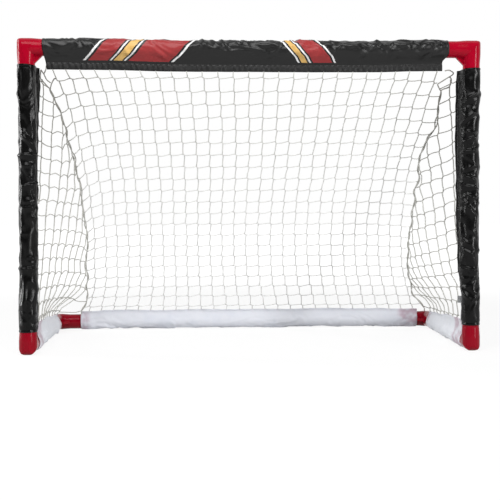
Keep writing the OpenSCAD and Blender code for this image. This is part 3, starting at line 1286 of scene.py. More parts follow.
@dataclass(frozen=True)
class NetShape:
    """How the net hangs: its slope in metres, and where its seams and columns run.

    The tables go from 0 at the crossbar to 1 at the floor, and hold millimetres from the middle.
    A seam wavers by millimetres, with so many kinks, and the outer columns crowd a little.
    """

    top_z: float = 0.4325
    top_y: float = -0.1412
    low_z: float = 0.0343
    low_y: float = 0.1284
    left_seam: Table = (
        (0.0, 312), (0.065, 309), (0.12, 301), (0.155, 296), (0.214, 293), (0.269, 288.5),
        (0.321, 282.5), (0.385, 281), (0.428, 276.5), (0.484, 277), (0.588, 275), (0.643, 273.7),
        (0.723, 276.6), (0.763, 279.8), (0.831, 280.5), (0.922, 283), (0.954, 286), (0.987, 294),
        (1.0, 297))
    right_seam: Table = (
        (0.0, 296), (0.049, 293), (0.067, 298), (0.127, 299), (0.173, 300.5), (0.203, 298),
        (0.243, 290), (0.284, 285.5), (0.343, 281), (0.389, 283), (0.43, 284.5), (0.47, 282),
        (0.523, 283.5), (0.613, 283.5), (0.668, 284), (0.724, 286.5), (0.781, 288), (0.819, 292),
        (0.868, 298), (0.918, 305.5), (0.959, 318), (0.99, 329), (1.0, 333))
    left_column: Table = (
        (0, -308), (0.024, -298.5), (0.05, -294), (0.1, -286), (0.2, -277), (0.3, -270.5),
        (0.43, -264), (0.55, -262), (0.67, -261), (0.77, -265), (0.87, -268), (1.0, -283))
    mid_column: Table = ((0.02, -3.5), (0.3, 0), (0.6, -2.5), (0.72, -1), (0.86, 4), (1.0, 14))
    right_column: Table = (
        (0, 289), (0.024, 288), (0.1, 280), (0.2, 275), (0.3, 268.5), (0.45, 265), (0.55, 265.5),
        (0.67, 270), (0.77, 277), (0.86, 288), (1.0, 311))
    waver: float = 3.6
    kinks: float = 21.0
    crowding: float = 0.025

    def seam(self, side: Side, v: float) -> Vector:
        """A point on a corner seam.

        Args:
            side: Which corner.
            v: 0 at the crossbar, 1 at the floor.

        Returns:
            The point.
        """
        table = self.left_seam if side is Side.LEFT else self.right_seam
        kink = self.waver * noise.noise((v * self.kinks, side.value * 5.0, 2.0))
        return self.slope(side.value * (along_table(table, v) + kink), v)

    def slope(self, x: float, v: float) -> Vector:
        """A point on the back panel's sloping plane, x millimetres from the middle."""
        return Vector((x * MM, mix(self.top_y, self.low_y, v), mix(self.top_z, self.low_z, v)))

    def column(self, share: float, v: float, last: float) -> Vector:
        """A point on an upright strand of the back panel, or between two of them.

        Args:
            share: -1 at the left seam to 1 at the right one.
            v: 0 at the crossbar, 1 at the floor.
            last: Share at the outermost strand.

        Returns:
            The point.
        """
        side = Side.LEFT if share < 0 else Side.RIGHT
        table = self.left_column if side is Side.LEFT else self.right_column
        middle, outer = along_table(self.mid_column, v), along_table(table, v)
        t = hold(abs(share) / last)
        point = self.slope(mix(middle, outer, t * (1 + self.crowding * (1 - t * t))), v)
        if abs(share) > last:
            point = point.lerp(self.seam(side, v), (abs(share) - last) / (1 - last))
        return point

    def height(self, y: float) -> float:
        """Height of the slope at a depth, held at its ends."""
        v = (y - self.top_y) / (self.low_y - self.top_y)
        return mix(self.top_z, self.low_z, hold(v))

    def share_at(self, z: float) -> float:
        """How far down the slope a height lies, held between 0 and 1."""
        return hold((self.top_z - z) / (self.top_z - self.low_z))

    @property
    def outward(self) -> Vector:
        """Direction away from the goal's inside."""
        return Vector((0, self.top_z - self.low_z, self.low_y - self.top_y)).normalized()


@dataclass(frozen=True)
class Knit:
    """How the twine crosses, in metres.

    At a crossing both strands run a little way together, slantwise, and change sides. Crossings
    are shifted at random by jitter, the stretches between them by wobble, and vary is the range of
    their sizes. slack is how far a stretch hangs.
    """

    run: float = 0.0009
    drop: float = 0.0010
    twist: float = 0.0006
    upright_r: float = 0.0009
    level_r: float = 0.00078
    jitter: float = 0.0004
    slack: float = 0.0006
    wobble: float = 0.0003
    vary: Pair = (0.6, 1.3)

    def sagging(self, a: Vector, b: Vector, dice: random.Random, depth: float) -> Vector:
        """The middle of a stretch of twine between two crossings.

        Args:
            a: Its start.
            b: Its end.
            dice: Source of small differences.
            depth: How far it hangs. Below 0 it arches up.

        Returns:
            The middle point.
        """
        return (a + b) / 2 + Vector(dice.gauss(hang, self.wobble) for hang in (0, 0, -depth))


class Crossing:
    """One crossing of the net: its place and the directions of its strands."""

    def __init__(self, place: Vector, level: Vector, down: Vector, knit: Knit,
                 dice: random.Random) -> None:
        """Works out where the strands enter and leave.

        Args:
            place: Middle of the crossing.
            level: Direction along the row.
            down: Direction along the column.
            knit: How the twine crosses.
            dice: Source of small differences.
        """
        out = level.cross(down).normalized()
        place = place.copy()
        for way in (level, down, out):
            place += way * dice.gauss(0, knit.jitter)
        run = knit.run * dice.uniform(*knit.vary)
        drop = knit.drop * dice.uniform(*knit.vary)
        self.high = place - level * run - down * drop
        self.low = place + level * run + down * drop
        self.out = out * knit.twist


@dataclass
class BackNet:
    """The sloping back panel. Its rows droop towards both seams, by a table and a power."""

    shape: NetShape
    knit: Knit
    top_edge: Edge
    low_edge: Edge
    columns: int = 28
    rows: int = 21
    left_droop: Table = ((0, 12), (0.07, 12), (0.12, 16), (0.2, 21), (0.4, 25), (0.6, 18),
                         (0.8, 8), (1, 0))
    right_droop: Table = ((0, 9), (0.8, 9), (1, 0))
    left_power: int = 9
    right_power: int = 5
    slope_length: float = 480.5
    sag: float = 0.002
    seeds: tuple[int, int] = (41, 7)

    def spot(self, i: float, v: float) -> Vector:
        """A point of the panel.

        Args:
            i: Column, 0 at the left seam.
            v: 0 at the crossbar, 1 at the floor.

        Returns:
            The point.
        """
        u = 2 * i / self.columns - 1
        droop, power = (self.left_droop, self.left_power) if u < 0 else (self.right_droop,
                                                                         self.right_power)
        low = min(1.0, v + along_table(droop, v) * abs(u) ** power / self.slope_length)
        point = self.shape.column(u, low, 1 - 2 / self.columns)
        return point - self.shape.outward * (self.sag * hump(v) * (1 - u * u))

    def crossings(self) -> list[list[Crossing]]:
        """All crossings, column by column.

        Returns:
            Every row of columns 0 to columns.
        """
        dice = random.Random(self.seeds[0])
        step = 0.5 / self.rows
        made = []
        for i in range(self.columns + 1):
            line = []
            for j in range(self.rows):
                v = (j + 0.5) / self.rows
                level = (self.spot(min(i + 0.5, self.columns), v)
                         - self.spot(max(i - 0.5, 0), v)).normalized()
                down = (self.spot(i, v + step) - self.spot(i, v - step)).normalized()
                line.append(Crossing(self.spot(i, v), level, down, self.knit, dice))
            made.append(line)
        return made

    def build(self, finish: bpy.types.Material) -> None:
        """Models the panel.

        Args:
            finish: The twine's material.
        """
        net = StrandMesh()
        dice = random.Random(self.seeds[1])
        grid = self.crossings()
        for i in range(1, self.columns):
            points = [self.top_edge(self.spot(i, 0).x)]
            for j, at in enumerate(grid[i]):
                points += [at.high - at.out, at.low + at.out]
                if j + 1 < self.rows:
                    points.append(self.knit.sagging(at.low, grid[i][j + 1].high, dice, 0.0))
            points.append(self.low_edge(self.spot(i, 1).x))
            net.strand(points, self.knit.upright_r)
        for j in range(self.rows):
            first = int(j == 0)
            points = [grid[first][j].low]
            for i in range(first, self.columns):
                at, after = grid[i][j], grid[i + 1][j]
                points.append(self.knit.sagging(at.low, after.high, dice, self.knit.slack))
                points.append(after.high + after.out)
                if i + 1 < self.columns:
                    points.append(after.low - after.out)
            net.strand(points, self.knit.level_r)
        net.build("back_net", finish, "net_back")


@dataclass(frozen=True)
class SideHang:
    """How a side panel hangs, in millimetres, by the height at which a row leaves the post.

    arcs are the columns' places along a row. shift moves them to the front further down, fall
    is how much lower a row ends at the seam, by a curve of a power, belly is how far it hangs
    halfway, and arch how far the stretches near the middle columns curve upwards.
    """

    arcs: tuple[float, ...]
    shift: Table
    fall: Table
    power: float
    belly: Table
    arch: float


HANGS = {
    Side.LEFT: SideHang(
        arcs=(7, 25, 46, 64, 84, 109, 133, 162, 196, 232),
        shift=((45, 24), (78, 21), (98, 18), (121, 13.5), (144, 11.5), (167, 9.5), (190, 7.5),
               (213, 6), (236, 3.5), (259, 2), (290, 0)),
        fall=((100, 22), (189, 17.5), (233, 10), (280, 2), (328, 0), (351, 6), (374, 5), (390, 13)),
        power=3.0, arch=3.0,
        belly=((60, 0), (120, 3), (200, 4), (250, 6), (280, 9), (310, 11), (351, 12), (374, 9),
               (400, 4))),
    Side.RIGHT: SideHang(
        arcs=(11, 38, 65, 96, 124, 152, 180, 208, 236, 262),
        shift=((45, 28), (98, 24), (121, 17), (144, 12), (167, 8), (190, 8), (213, 7), (259, 5.5),
               (328, 4.5), (400, 0)),
        fall=((75, 14), (120, 28), (166, 35), (210, 34), (255, 30), (282, 27), (300, 27), (328, 31),
              (350, 21), (370, 12)),
        power=0.8, arch=1.2, belly=((75, 0), (140, 2), (200, 4), (330, 3), (380, 1))),
}


@dataclass
class SideNet:
    """A side panel: rows from the post's hem to the corner seam, columns down to the floor.

    The rows' heights and first_arc, the nearest that a column comes to the post, are millimetres,
    and other lengths are metres. From corner_from, a share of a row, the panel's foot leaves the
    side sleeve for the corner, and it bends to its foot within low_band. A row that ends behind
    sleeve_end is tied to the seam, and a column that ends within foot_reach is sewn to the hem.
    """

    side: Side
    shape: NetShape
    knit: Knit
    post_edge: Edge
    floor_edge: Edge
    first_row: float = 420.5
    row_pitch: float = 23.05
    rows: int = 17
    steps: int = 48
    sleeve_end: float = 0.0958
    straight_above: float = 380.0
    corner_from: float = 0.8
    low_band: float = 0.07
    first_arc: float = 1.5
    foot_reach: float = 0.02
    end_bends: Pair = (0.0012, 0.0004)
    seed: int = 11

    @property
    def hang(self) -> SideHang:
        """How this side's panel hangs."""
        return HANGS[self.side]

    def seam_at(self, z: float) -> Vector:
        """The corner seam's point at a height."""
        return self.shape.seam(self.side, self.shape.share_at(z))

    def start_z(self, k: float) -> float:
        """Height in millimetres at which a row leaves the post."""
        return self.first_row - k * self.row_pitch

    def point(self, k: float, a: float) -> Vector:
        """A point of the panel.

        Args:
            k: Row, 0 at the top.
            a: 0 at the post's hem, 1 at the corner seam.

        Returns:
            The point.
        """
        z = self.start_z(k)
        fall = along_table(self.hang.fall, z)
        power = 1.0 if z > self.straight_above else self.hang.power
        end = self.seam_at((z - fall) * MM)
        front = self.post_edge(z * MM)
        drop = fall * a ** power + along_table(self.hang.belly, z) * hump(a)
        here = Vector((mix(front.x, end.x, math.sin(math.radians(90 * a))),
                       mix(front.y, end.y, a), (z - drop) * MM))
        floor = self.floor_edge(here.y)
        corner = self.shape.seam(self.side, 1.0)
        floor_x = mix(floor.x, corner.x, ease((a - self.corner_from) / 0.2))
        low = ease(1 - (here.z - floor.z) / self.low_band)
        here.x = mix(here.x, floor_x, low * low)
        return here

    def row(self, k: float) -> tuple[list[Vector], list[float]]:
        """A row as a fine line.

        Args:
            k: Row.

        Returns:
            Its points down to the floor's hem or the seam, and their distances in millimetres.
        """
        points = [self.point(k, 0.0)]
        far = [0.0]
        for n in range(1, self.steps + 1):
            here = self.point(k, n / self.steps)
            if here.z < self.floor_edge(here.y).z:
                break
            far.append(far[-1] + (here - points[-1]).length / MM)
            points.append(here)
        return points, far

    def place(self, k: float, m: int) -> Vector | None:
        """Where a column crosses a row.

        Args:
            k: Row.
            m: Column.

        Returns:
            The place, or None where the column is not beside the row.
        """
        goal = self.hang.arcs[m] - along_table(self.hang.shift, self.start_z(k))
        points, far = self.row(k)
        if goal < self.first_arc or goal > far[-1]:
            return None
        n = next(n for n, d in enumerate(far) if d >= goal)
        return points[n - 1].lerp(points[n], (goal - far[n - 1]) / (far[n] - far[n - 1]))

    def upright(self, m: int) -> list[tuple[float, Vector]]:
        """One column: the quarter rows that it crosses, and where."""
        spots = ((n / 4, self.place(n / 4, m)) for n in range(-2, 4 * self.rows))
        return [(k, here) for k, here in spots if here is not None]

    def build(self, finish: bpy.types.Material) -> None:
        """Models the panel.

        Args:
            finish: The twine's material.
        """
        net = StrandMesh()
        dice = random.Random(self.seed + self.side.value)
        grid: dict[tuple[int, int], Crossing] = {}
        for m in range(len(self.hang.arcs)):
            line = self.upright(m)
            if len(line) < 4:
                continue
            start = self.seam_at(self.shape.height(line[0][1].y))
            points = [start] if m else []
            for n, (k, here) in enumerate(line):
                if k != int(k) or k < 0:
                    if n % 2 and 0 < n < len(line) - 1:
                        points.append(here)
                    continue
                ahead, back = line[min(n + 1, len(line) - 1)][1], line[max(n - 1, 0)][1]
                beside = self.point(k, 1.0) - self.point(k, 0.0)
                at = Crossing(here, beside.normalized(), (ahead - back).normalized(),
                              self.knit, dice)
                grid[m, int(k)] = at
                points += [at.high - at.out, at.low + at.out]
            foot = self.floor_edge(line[-1][1].y)
            if line[-1][1].z < foot.z + self.foot_reach:
                points.append(foot)
            net.strand(points, self.knit.upright_r)
        for k in range(self.rows):
            fine, _ = self.row(k)
            if len(fine) < 6:
                continue
            line = [grid[m, k] for m in range(len(self.hang.arcs)) if (m, k) in grid]
            points = [fine[0]]
            before = fine[0]
            for n, at in enumerate(line):
                bend = (self.end_bends[0] if n == 0 or (n == 1 and k < 7)
                        else -self.hang.arch * MM * (1.0 if n < 5 else 0.35))
                points.append(self.knit.sagging(before, at.high, dice, bend))
                points += [at.high + at.out, at.low - at.out]
                before = at.low
            points += [self.knit.sagging(before, fine[-1], dice, self.end_bends[1]), fine[-1]]
            if fine[-1].y > self.sleeve_end:
                points.append(self.seam_at(fine[-1].z))
            net.strand(points, self.knit.level_r)
        net.build(f"side_net_{self.side.word}", finish, f"net_{self.side.word}")


LOOPS: dict[Side, tuple[tuple[Triple, ...], ...]] = {
    Side.LEFT: (
        ((-311.8, -141, 440.1), (-312.8, -140, 433.6), (-316.2, -136, 428.6)),
        ((-322.6, -126, 435.5), (-317.6, -128, 428.3), (-313.2, -130, 420), (-307.2, -130, 415.1)),
        ((-298, -132, 421), (-301.5, -131, 421.1), (-306, -129, 413.9), (-308.5, -126, 406.1)),
        ((-322.6, -126, 435.5), (-323.7, -124, 423.3), (-319.9, -123, 418.1),
         (-313.7, -124, 411.1), (-308.5, -126, 406.1))),
    Side.RIGHT: (
        ((300.6, -141, 434.5), (308, -139, 435.6), (317.8, -126, 432), (304.5, -129, 423.1),
         (292.9, -131, 415.8), (292.4, -130, 412.9), (297.1, -127, 405.5)),
        ((311.2, -127, 427.3), (314.9, -125, 422.9), (312.8, -121, 412.5), (302.7, -124, 408.2),
         (297.1, -127, 405.5))),
}


@dataclass
class SeamCord:
    """Two cords that lace a side panel to the back panel and cross over each other.

    In the gathered rows they stand further apart. Their upper ends go as loose loops to the hems,
    by LOOPS, which are millimetres.
    """

    side: Side
    shape: NetShape
    first: float = 0.066
    rows: int = 20
    radius: float = 0.00095
    spread: float = 0.0009
    tail: float = 0.0055
    steps: int = 6
    loop_steps: int = 5
    swell: float = 0.15
    gathered: range = range(2, 12)
    gathers: tuple[float, ...] = (1.0, 1.0, 1.4, 2.4)
    seed: int = 23

    def build(self, finish: bpy.types.Material) -> None:
        """Models both cords and the loops.

        Args:
            finish: The cord's material.
        """
        dice = random.Random(self.seed + self.side.value)
        net = StrandMesh()
        wide = [dice.choice(self.gathers) if k in self.gathered else 1.0
                for k in range(self.rows + 1)]
        lines: list[list[Vector]] = [[], []]
        for k in range(self.rows * self.steps + 1):
            v = mix(self.first, 1.0, k / (self.rows * self.steps))
            here = self.shape.seam(self.side, v)
            down = (self.shape.seam(self.side, min(1.0, v + 0.01))
                    - self.shape.seam(self.side, v - 0.01)).normalized()
            across = down.cross(self.shape.outward).normalized()
            beat = k / self.steps
            swing = math.sin(math.pi * beat) * self.spread * wide[min(int(beat), self.rows)]
            depth = math.cos(math.pi * beat) * self.radius * 0.9
            for n, sign in enumerate((1, -1)):
                lines[n].append(here + across * (swing * sign)
                                + self.shape.outward * (depth * sign))
        for line in lines:
            line.append(line[-1] + Vector((0, 0, -self.tail)))
            net.strand(line, self.radius, self.swell, 1)
        for path in LOOPS[self.side]:
            course = [Vector(place) * MM for place in path]
            net.strand(course, self.radius, self.swell, self.loop_steps)
        net.build(f"corner_lacing_{self.side.word}", finish, f"seam_cord_{self.side.word}")


# ---- Goal ----


@dataclass
class Frame:
    """The CAD elbows and tubes, which keep their shapes and get their finishes."""

    nodes: dict[str, bpy.types.Object]

    def dress(self) -> None:
        """Gives the elbows and tubes their materials."""
        finishes = {"elbow": RedPlastic().build(), "tube": PipePlastic().build()}
        for name, thing in self.nodes.items():
            for kind in finishes.keys() & set(name.split("_")):
                for slot in thing.material_slots:
                    slot.material = finishes[kind]
                LOG.info("%s: dressed", name)


class Cover(ABC):
    """One tube's cover: the shape of its sleeve and its cloth."""

    @abstractmethod
    def sleeve(self) -> Sleeve:
        """The sleeve's shape."""

    @abstractmethod
    def finish(self, sleeve: Sleeve) -> BlackNylon | WhiteNylon:
        """The cloth of the sleeve."""

    def build(self) -> Sleeve:
        """Models the sleeve and dresses it.

        Returns:
            The sleeve.
        """
        sleeve = self.sleeve()
        sleeve.build(self.finish(sleeve).build())
        return sleeve


@dataclass
class CrossbarSleeve(Cover):
    """Black printed sleeve of the crossbar, with a puckered hem below."""

    left: float = -316.5
    right: float = 304.0
    gloss: float = 0.38
    roughness: float = 0.33
    pucker: float = 0.5

    def bars(self) -> tuple[PrintedBar, ...]:
        """The slanted bars of the print.

        Returns:
            The bars, placed along the sleeve in metres.
        """
        brick, sand, white = (0.30, 0.022, 0.024), (0.68, 0.42, 0.13), (0.80, 0.80, 0.80)
        plan = ((58, 4, white), (66, 30, brick), (99, 3, white), (105, 13, sand),
                (121, 3, white), (128, 62, brick), (194, 4, white),
                (392, 3, white), (398, 9, sand), (410, 3, white), (416, 30, brick),
                (449, 3, white))
        lean, middle = 0.9, 300
        return tuple(PrintedBar(a * MM, w * MM, c, lean if a < middle else -lean)
                     for a, w, c in plan)

    def finish(self, sleeve: Sleeve) -> BlackNylon:
        """The printed cloth."""
        return BlackNylon("nylon_crossbar", *sleeve.flat, sleeve.section.band * MM, self.bars(),
                          self.gloss, self.roughness, self.pucker)

    def sleeve(self) -> Sleeve:
        """The sleeve's shape.

        Returns:
            The sleeve.
        """
        length = self.right - self.left
        folds = (
            Fold((238, 248), (27, 2), 1.8, 2.2, 1), Fold((252, 262), (24, 6), 1.0, 2.0),
            Fold((266, 284), (28, -4), 2.0, 2.0, 1), Fold((288, 300), (20, 8), 0.9, 1.8),
            Fold((140, 176), (10, 14), 0.8, 3.0, 2), Fold((20, 60), (12, 8), 0.8, 4.0),
            Fold((300, 312), (24, 4), 1.0, 2.0), Fold((336, 352), (25, 12), 1.0, 2.2),
            Fold((384, 392), (28, 14), 1.7, 2.4), Fold((330, 470), (7, 6), 1.3, 2.6, 0, (1.8, 22)),
            Fold((462, 612), (6, 7), 1.6, 2.8, 0, (2.4, 27)), Fold((400, 428), (24, 12), 1.1, 2.6),
            Fold((436, 446), (22, 6), 1.0, 2.0), Fold((476, 500), (20, 8), 1.2, 2.4),
            Fold((508, 524), (24, 2), 1.5, 2.4, 2), Fold((540, 566), (22, 10), 1.4, 2.6),
            Fold((572, 590), (6, 20), 1.4, 2.4), Fold((592, 612), (20, 10), 1.2, 2.6),
        )
        return Sleeve(
            "crossbar_cloth", "crossbar_sleeve", Slot.BLACK,
            Vector((self.left * MM, -SIZES.frame_y, SIZES.bar_z)), Vector((1, 0, 0)),
            Vector((0, 0, -1)), Vector((0, -1, 0)), length,
            Section(edge=33.4, band=10.0, spacing=1.5),
            Relief(folds, 1.1, 1.3, 2.0, 3, 36, 1.3, (10.0, 600.0), 1.3),
            ("crossbar_tube", "elbow_top_left", "elbow_top_right"), (39.0, 27.0),
            pull=((110, 0.3), (170, 2.0), (200, 2.4), (500, 2.2), (560, 0.5)),
            wave=lambda s: 0.5 * math.sin(s / 23.0) + 0.4 * math.sin(s / 9.7),
            start_slant=lambda p: 6.5 * ease((p + 6.0) / 50.0),
            end_slant=lambda p: 8.0 * ease((p - 8.0) / 12.0), pucker=0.7, spacing=1.5)


@dataclass
class PostSleeve(Cover):
    """Black sleeve of one post, its hem turned inwards and back."""

    side: Side

    def turn(self, s: float) -> float:
        """Swing of the hem from 45 degrees, in radians, at a place up the sleeve.

        Args:
            s: Place from the sleeve's lower end, in millimetres.

        Returns:
            The swing. Less turns the hem further back.
        """
        if self.side is Side.LEFT:
            table = ((0, 18), (120, 20), (300, 18), (322, 14), (350, 7), (370, 2), (406, 0))
        else:
            table = ((0, 26), (40, 24), (134, 7), (250, -2), (398, -8))
        return math.radians(-along_table(table, s) + 4 * noise.noise((s / 16.0, 1.7, 3.0)))

    def finish(self, sleeve: Sleeve) -> BlackNylon:
        """The plain cloth."""
        return BlackNylon(f"nylon_post_{self.side.word}", *sleeve.flat, sleeve.section.band * MM)

    def sleeve(self) -> Sleeve:
        """The sleeve's shape.

        Returns:
            The sleeve.
        """
        low, high = (35.0, 441.0) if self.side is Side.LEFT else (40.0, 438.0)
        inward = -self.side.value
        hem = Vector((inward, 1, 0)).normalized()
        if self.side is Side.LEFT:
            folds = (
                Fold((324, 293), (19, 7), -1.7, 3.6, 2), Fold((300, 281), (23, 2), 2.2, 3.0),
                Fold((284, 272), (10, -4), 1.4, 2.0), Fold((268, 268.5), (-6, 36), 2.5, 2.8),
                Fold((252, 254), (2, 24), 1.3, 3.2), Fold((235, 226), (14, -4), 1.7, 2.2),
                Fold((227, 221), (-3, 23), 2.3, 2.6), Fold((232, 246), (19, 22), -1.6, 3.5),
                Fold((190, 188), (4, 24), 1.2, 3.2), Fold((192, 172), (-3, 1), 1.5, 1.8, 2),
                Fold((174, 169), (7, 0), 1.5, 1.8), Fold((96, 97), (-6, 36), 3.0, 2.6),
                Fold((114, 112), (14, 2), 1.4, 2.2), Fold((2, 92), (19.5, 19.5), 1.9, 3.0),
                Fold((330, 405), (24, 23), 1.5, 2.6, 0, (0.6, 40)), Fold((50, 45), (14, 8), 1.1, 2.0),
                Fold((310, 400), (0, -1), 1.4, 2.2, 0, (0.8, 34)),
                Fold((104, 182), (24, 23), 1.4, 2.6, 0, (0.7, 44)),
            )
            loose = Relief(folds, 0.9, 0.8, 2.2, 4, 20, 0.9, (5.0, 395.0), 1.2)
        else:
            folds = (
                Fold((312, 392), (-11, -11), 2.4, 2.8, 0, (1.0, 50)),
                Fold((60, 312), (-8, -10), 2.6, 2.4, 0, (2.6, 40)),
                Fold((331, 308), (18, -11), 2.6, 2.8, -2), Fold((365, 345), (19, -2), 1.8, 3.0),
                Fold((300, 296), (2, 20), 1.9, 2.4), Fold((284, 292), (-2, 16), 2.1, 2.6),
                Fold((268, 272), (-8, 18), 2.3, 2.6), Fold((248, 240), (16, -2), 1.9, 2.8),
                Fold((232, 226), (-6, 18), 2.5, 2.8), Fold((216, 214), (-8, 20), 2.1, 2.4),
                Fold((204, 196), (0, 18), 1.8, 2.6), Fold((196, 178), (-4, 12), 2.1, 2.6),
                Fold((184, 170), (4, 16), 1.8, 2.4), Fold((160, 138), (-7, -3), 2.2, 2.2),
                Fold((136, 124), (-4, 10), 1.8, 2.4), Fold((118, 110), (-2, 14), 1.7, 2.4),
                Fold((90, 84), (-8, 24), 3.1, 2.6), Fold((60, 42), (-6, 12), 1.8, 2.6),
                Fold((52, 36), (-2, 14), 1.4, 2.4),
            )
            loose = Relief(folds, 1.1, 1.0, 2.4, 6, 30, 1.5, (70.0, 395.0), 1.2)
        return Sleeve(
            f"post_cloth_{self.side.word}", f"post_sleeve_{self.side.word}", Slot.BLACK,
            Vector((self.side.value * SIZES.post_x, -SIZES.frame_y, low * MM)), Vector((0, 0, 1)),
            hem, Vector((0, -1, 0)), high - low,
            Section(meet=19.0, edge=24.6, band=4.0, gap=0.5, puff=1.0, spacing=1.4),
            loose, (f"post_tube_{self.side.word}",), (43.0, 38.0), swing=self.turn,
            wave=lambda s: 0.8 * math.sin(s / 14.0 + self.side.value),
            deep=lambda s: 0.5 * math.sin(s / 11.0),
            end_slant=lambda p: (3.0 if self.side is Side.LEFT else 2.0) * (p + 13.6) / 38.0,
            pucker=0.25, spacing=1.4)


@dataclass
class SideSleeve(Cover):
    """White sleeve of one side tube, its hem leaning inwards over the tube."""

    side: Side
    # Lighter tones than the rear cloth's, standing in for the light that falls on the side sleeves:
    # painted light.
    colour: Triple = (0.86, 0.88, 0.93)
    shade: Triple = (0.75, 0.78, 0.84)

    def finish(self, sleeve: Sleeve) -> WhiteNylon:
        """The cloth, painted whiter than at the rear: painted light on the side sleeves."""
        return WhiteNylon(f"nylon_side_{self.side.word}", *sleeve.flat, SIZES.corners(),
                          self.colour, self.shade)

    def sleeve(self) -> Sleeve:
        """The sleeve's shape.

        Returns:
            The sleeve.
        """
        first, last = (25.0, 237.0) if self.side is Side.LEFT else (14.0, 237.0)
        lean = math.radians(20)
        hem = Vector((-self.side.value * math.sin(lean), 0, math.cos(lean)))
        folds = (
            Fold((20, 60), (16, -6), 1.4, 3.0), Fold((50, 92), (18, -4), 1.1, 3.0),
            Fold((12, 30), (-4, 18), 1.5, 2.4), Fold((110, 160), (14, 2), 1.0, 3.4),
            Fold((176, 206), (-4, 12), 1.1, 3.0),
        )
        return Sleeve(
            f"side_cloth_{self.side.word}", f"side_sleeve_{self.side.word}", Slot.WHITE,
            Vector((self.side.value * SIZES.post_x, first * MM - SIZES.frame_y, SIZES.base_z)),
            Vector((0, 1, 0)), hem, Vector((-self.side.value, 0, 0)), last - first,
            Section(meet=19.0, edge=24.6, band=3.5, gap=0.4, puff=0.7),
            Relief(folds, 0.7, 0.8, 2.0, 9 + self.side.value, 22, 1.1, (4.0, 215.0)),
            (f"side_tube_{self.side.word}", f"elbow_foot_{self.side.word}"),
            (64.0 - first, 19.0), pull=((0, 1.5), (200, 1.5)),
            deep=lambda s: mix(11.0, -3.0, ease((s - 5) / 200)) + 0.5 * math.sin(s / 12),
            wave=lambda s: 0.7 * math.sin(s / 17), pucker=0.2)


@dataclass
class RearSleeve(Cover):
    """White sleeve of the rear tube, its hem leaning forwards to the net."""

    left: float = -298.0
    right: float = 319.0

    def finish(self, sleeve: Sleeve) -> WhiteNylon:
        """The cloth."""
        return WhiteNylon("nylon_rear", *sleeve.flat, SIZES.corners())

    def sleeve(self) -> Sleeve:
        """The sleeve's shape.

        Returns:
            The sleeve.
        """
        lean = math.radians(32)
        folds = (
            Fold((4, 8), (24, -10), 1.2, 2.2), Fold((24, 90), (-2, 16), 0.8, 3.2),
            Fold((120, 210), (16, 6), 0.6, 3.6), Fold((330, 360), (14, -2), 1.0, 4.0),
            Fold((520, 560), (22, 2), 1.2, 3.2), Fold((548, 590), (4, 24), 1.7, 3.0),
            Fold((580, 612), (22, 0), 1.9, 2.6), Fold((600, 618), (-4, 14), 1.9, 2.4),
        )
        length = self.right - self.left
        return Sleeve(
            "rear_cloth", "rear_sleeve", Slot.WHITE,
            Vector((self.left * MM, SIZES.frame_y, SIZES.base_z)), Vector((1, 0, 0)),
            Vector((0, -math.sin(lean), math.cos(lean))), Vector((0, -1, 0)), length,
            Section(14.1, 18.6, 23.6, 3.0, 0.4, 0.7),
            Relief(folds, 0.7, 0.8, 2.6, 15, 50, 1.0, (4.0, 600.0)),
            ("rear_tube", "elbow_rear_left", "elbow_rear_right"), (21.0, 47.0),
            wave=lambda s: 0.6 * math.sin(s / 19), deep=lambda s: 0.5 * math.sin(s / 31),
            pucker=0.2, arm=13.55)


@dataclass
class SewnTab:
    """Small folded tape tab on the right post's hem."""

    thick: float = 0.0009
    reach: float = 0.0065
    tall: float = 0.011
    low_z: float = 0.0715
    angle: float = 155.0
    sewn_in: float = 1.4
    fold: float = 0.9
    curl: float = 0.0007
    edge: float = 0.00025

    def build(self, sleeve: Sleeve, finish: bpy.types.Material) -> None:
        """Models the tab: two layers of tape with a fold at its free end.

        Args:
            sleeve: The sleeve whose hem it is sewn into.
            finish: The tape's material.
        """
        deselect()
        bpy.ops.mesh.primitive_cube_add(size=1, location=(0, 0, 0))
        tab = bpy.context.object
        with editing(tab):
            bpy.ops.transform.resize(value=(self.reach, self.thick, self.tall))
            bpy.ops.mesh.subdivide(number_cuts=3)
        for vertex in tab.data.vertices:
            free = vertex.co.x / self.reach + 0.5
            vertex.co.y *= 1 + self.fold * ease((free - 0.55) / 0.4)
            vertex.co.y += self.curl * math.sin(free * 2.6) * (vertex.co.z / self.tall)
        soft = tab.modifiers.new("soft", "BEVEL")
        soft.width = self.edge
        soft.segments = 2
        apply_modifiers(tab)
        bpy.ops.object.shade_smooth()
        turn = Matrix.Rotation(math.radians(self.angle), 4, "Z")
        middle = self.low_z + self.tall / 2
        sewn = sleeve.edge_point((middle - sleeve.origin.z) / MM, self.sewn_in)
        tab.data.transform(Matrix.Translation(sewn + turn @ Vector((self.reach / 2, 0, 0))) @ turn)
        settle(tab, "tape_tab", finish, Slot.TAPE, "sewn_tab")


# ---- Studio ----


@dataclass(frozen=True)
class SoftBox:
    """One area lamp."""

    name: str
    place: Triple
    aim: Triple
    wide: float
    tall: float
    power: float

    def build(self) -> None:
        """Adds the lamp."""
        data = bpy.data.lights.new(self.name, "AREA")
        data.shape = "RECTANGLE"
        data.size, data.size_y = self.wide, self.tall
        data.energy = self.power
        lamp = link(self.name, data)
        lamp.location = self.place
        toward = Vector(self.aim) - Vector(self.place)
        lamp.rotation_euler = toward.to_track_quat("-Z", "Y").to_euler()


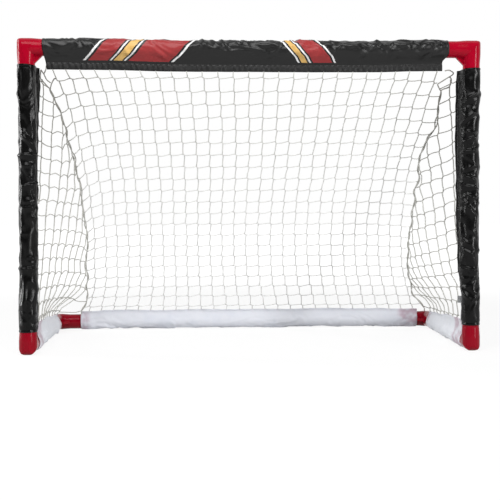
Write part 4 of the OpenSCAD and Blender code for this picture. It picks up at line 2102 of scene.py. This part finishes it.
@dataclass(frozen=True)
class Studio:
    """White floor, plain soft light and the camera."""

    boxes: tuple[SoftBox, ...] = (
        SoftBox("left_box", (-1.75, 0.2, 0.45), (0, -0.05, 0.25), 0.2, 1.0, 17.0),
        SoftBox("right_box", (2.08, -1.94, 0.6), (0, -0.1, 0.25), 0.34, 1.2, 36.0),
        SoftBox("front_box", (-0.25, -1.15, 1.4), (-0.05, -0.1, 0.3), 1.4, 0.9, 24.0),
    )
    floor_size: float = 14.0
    eye: Triple = (-0.0717, -1.5712, 0.2342)
    yaw: float = 0.0483
    pitch: float = -0.0195
    roll: float = 0.0025
    lens: float = 66.97
    sensor: float = 36.0
    shift_y: float = -0.0627
    clip: Pair = (0.05, 60.0)

    def build(self) -> None:
        """Sets up the floor, world, lamps and camera."""
        deselect()
        bpy.ops.mesh.primitive_plane_add(size=self.floor_size, location=(0, 0, 0))
        floor = bpy.context.object
        floor.name = "studio_floor"
        floor.data.materials.append(BackdropFinish().build())
        bpy.context.scene.world = RoomLight().build()
        for box in self.boxes:
            box.build()
        data = bpy.data.cameras.new("camera")
        data.lens, data.sensor_width = self.lens, self.sensor
        data.shift_y = self.shift_y
        data.clip_start, data.clip_end = self.clip
        camera = link("camera", data)
        camera.location = self.eye
        camera.rotation_euler = Euler((math.pi / 2 + self.pitch, self.roll, -self.yaw), "XYZ")
        bpy.context.scene.camera = camera


def make_sleeves() -> dict[str, Sleeve]:
    """Builds and dresses the six sleeves.

    Returns:
        The sleeves by name.
    """
    made = {"crossbar": CrossbarSleeve().build()}
    for side in Side:
        made[f"post_{side.word}"] = PostSleeve(side).build()
        made[f"side_{side.word}"] = SideSleeve(side).build()
    made["rear"] = RearSleeve().build()
    return made


def make_nets(sleeves: dict[str, Sleeve]) -> None:
    """Builds the three net panels and the corner lacing.

    Args:
        sleeves: The sleeves whose hems carry the net.
    """
    shape, knit = NetShape(), Knit()
    twine = TwineFinish("twine").build()
    # A darker copy of the twine for the side panels and the lacing: painted shade.
    shaded = TwineFinish("side_twine", (0.58, 0.575, 0.54), (0.36, 0.355, 0.33)).build()
    BackNet(shape, knit, sleeves["crossbar"].edge_at, sleeves["rear"].edge_at).build(twine)
    for side in Side:
        post, skirt = sleeves[f"post_{side.word}"], sleeves[f"side_{side.word}"]
        SideNet(side, shape, knit, post.edge_at, skirt.edge_at).build(shaded)
        SeamCord(side, shape).build(shaded)


def main() -> None:
    """Builds the goal in order: frame, sleeves, net, tab and studio."""
    logging.basicConfig(level=logging.INFO, format="%(message)s")
    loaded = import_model()
    Studio().build()
    Frame(loaded["nodes"]).dress()
    sleeves = make_sleeves()
    make_nets(sleeves)
    SewnTab().build(sleeves["post_right"], TapeFinish().build())
    bpy.context.scene.view_settings.view_transform = "Standard"


if __name__ == "__main__":
    main()
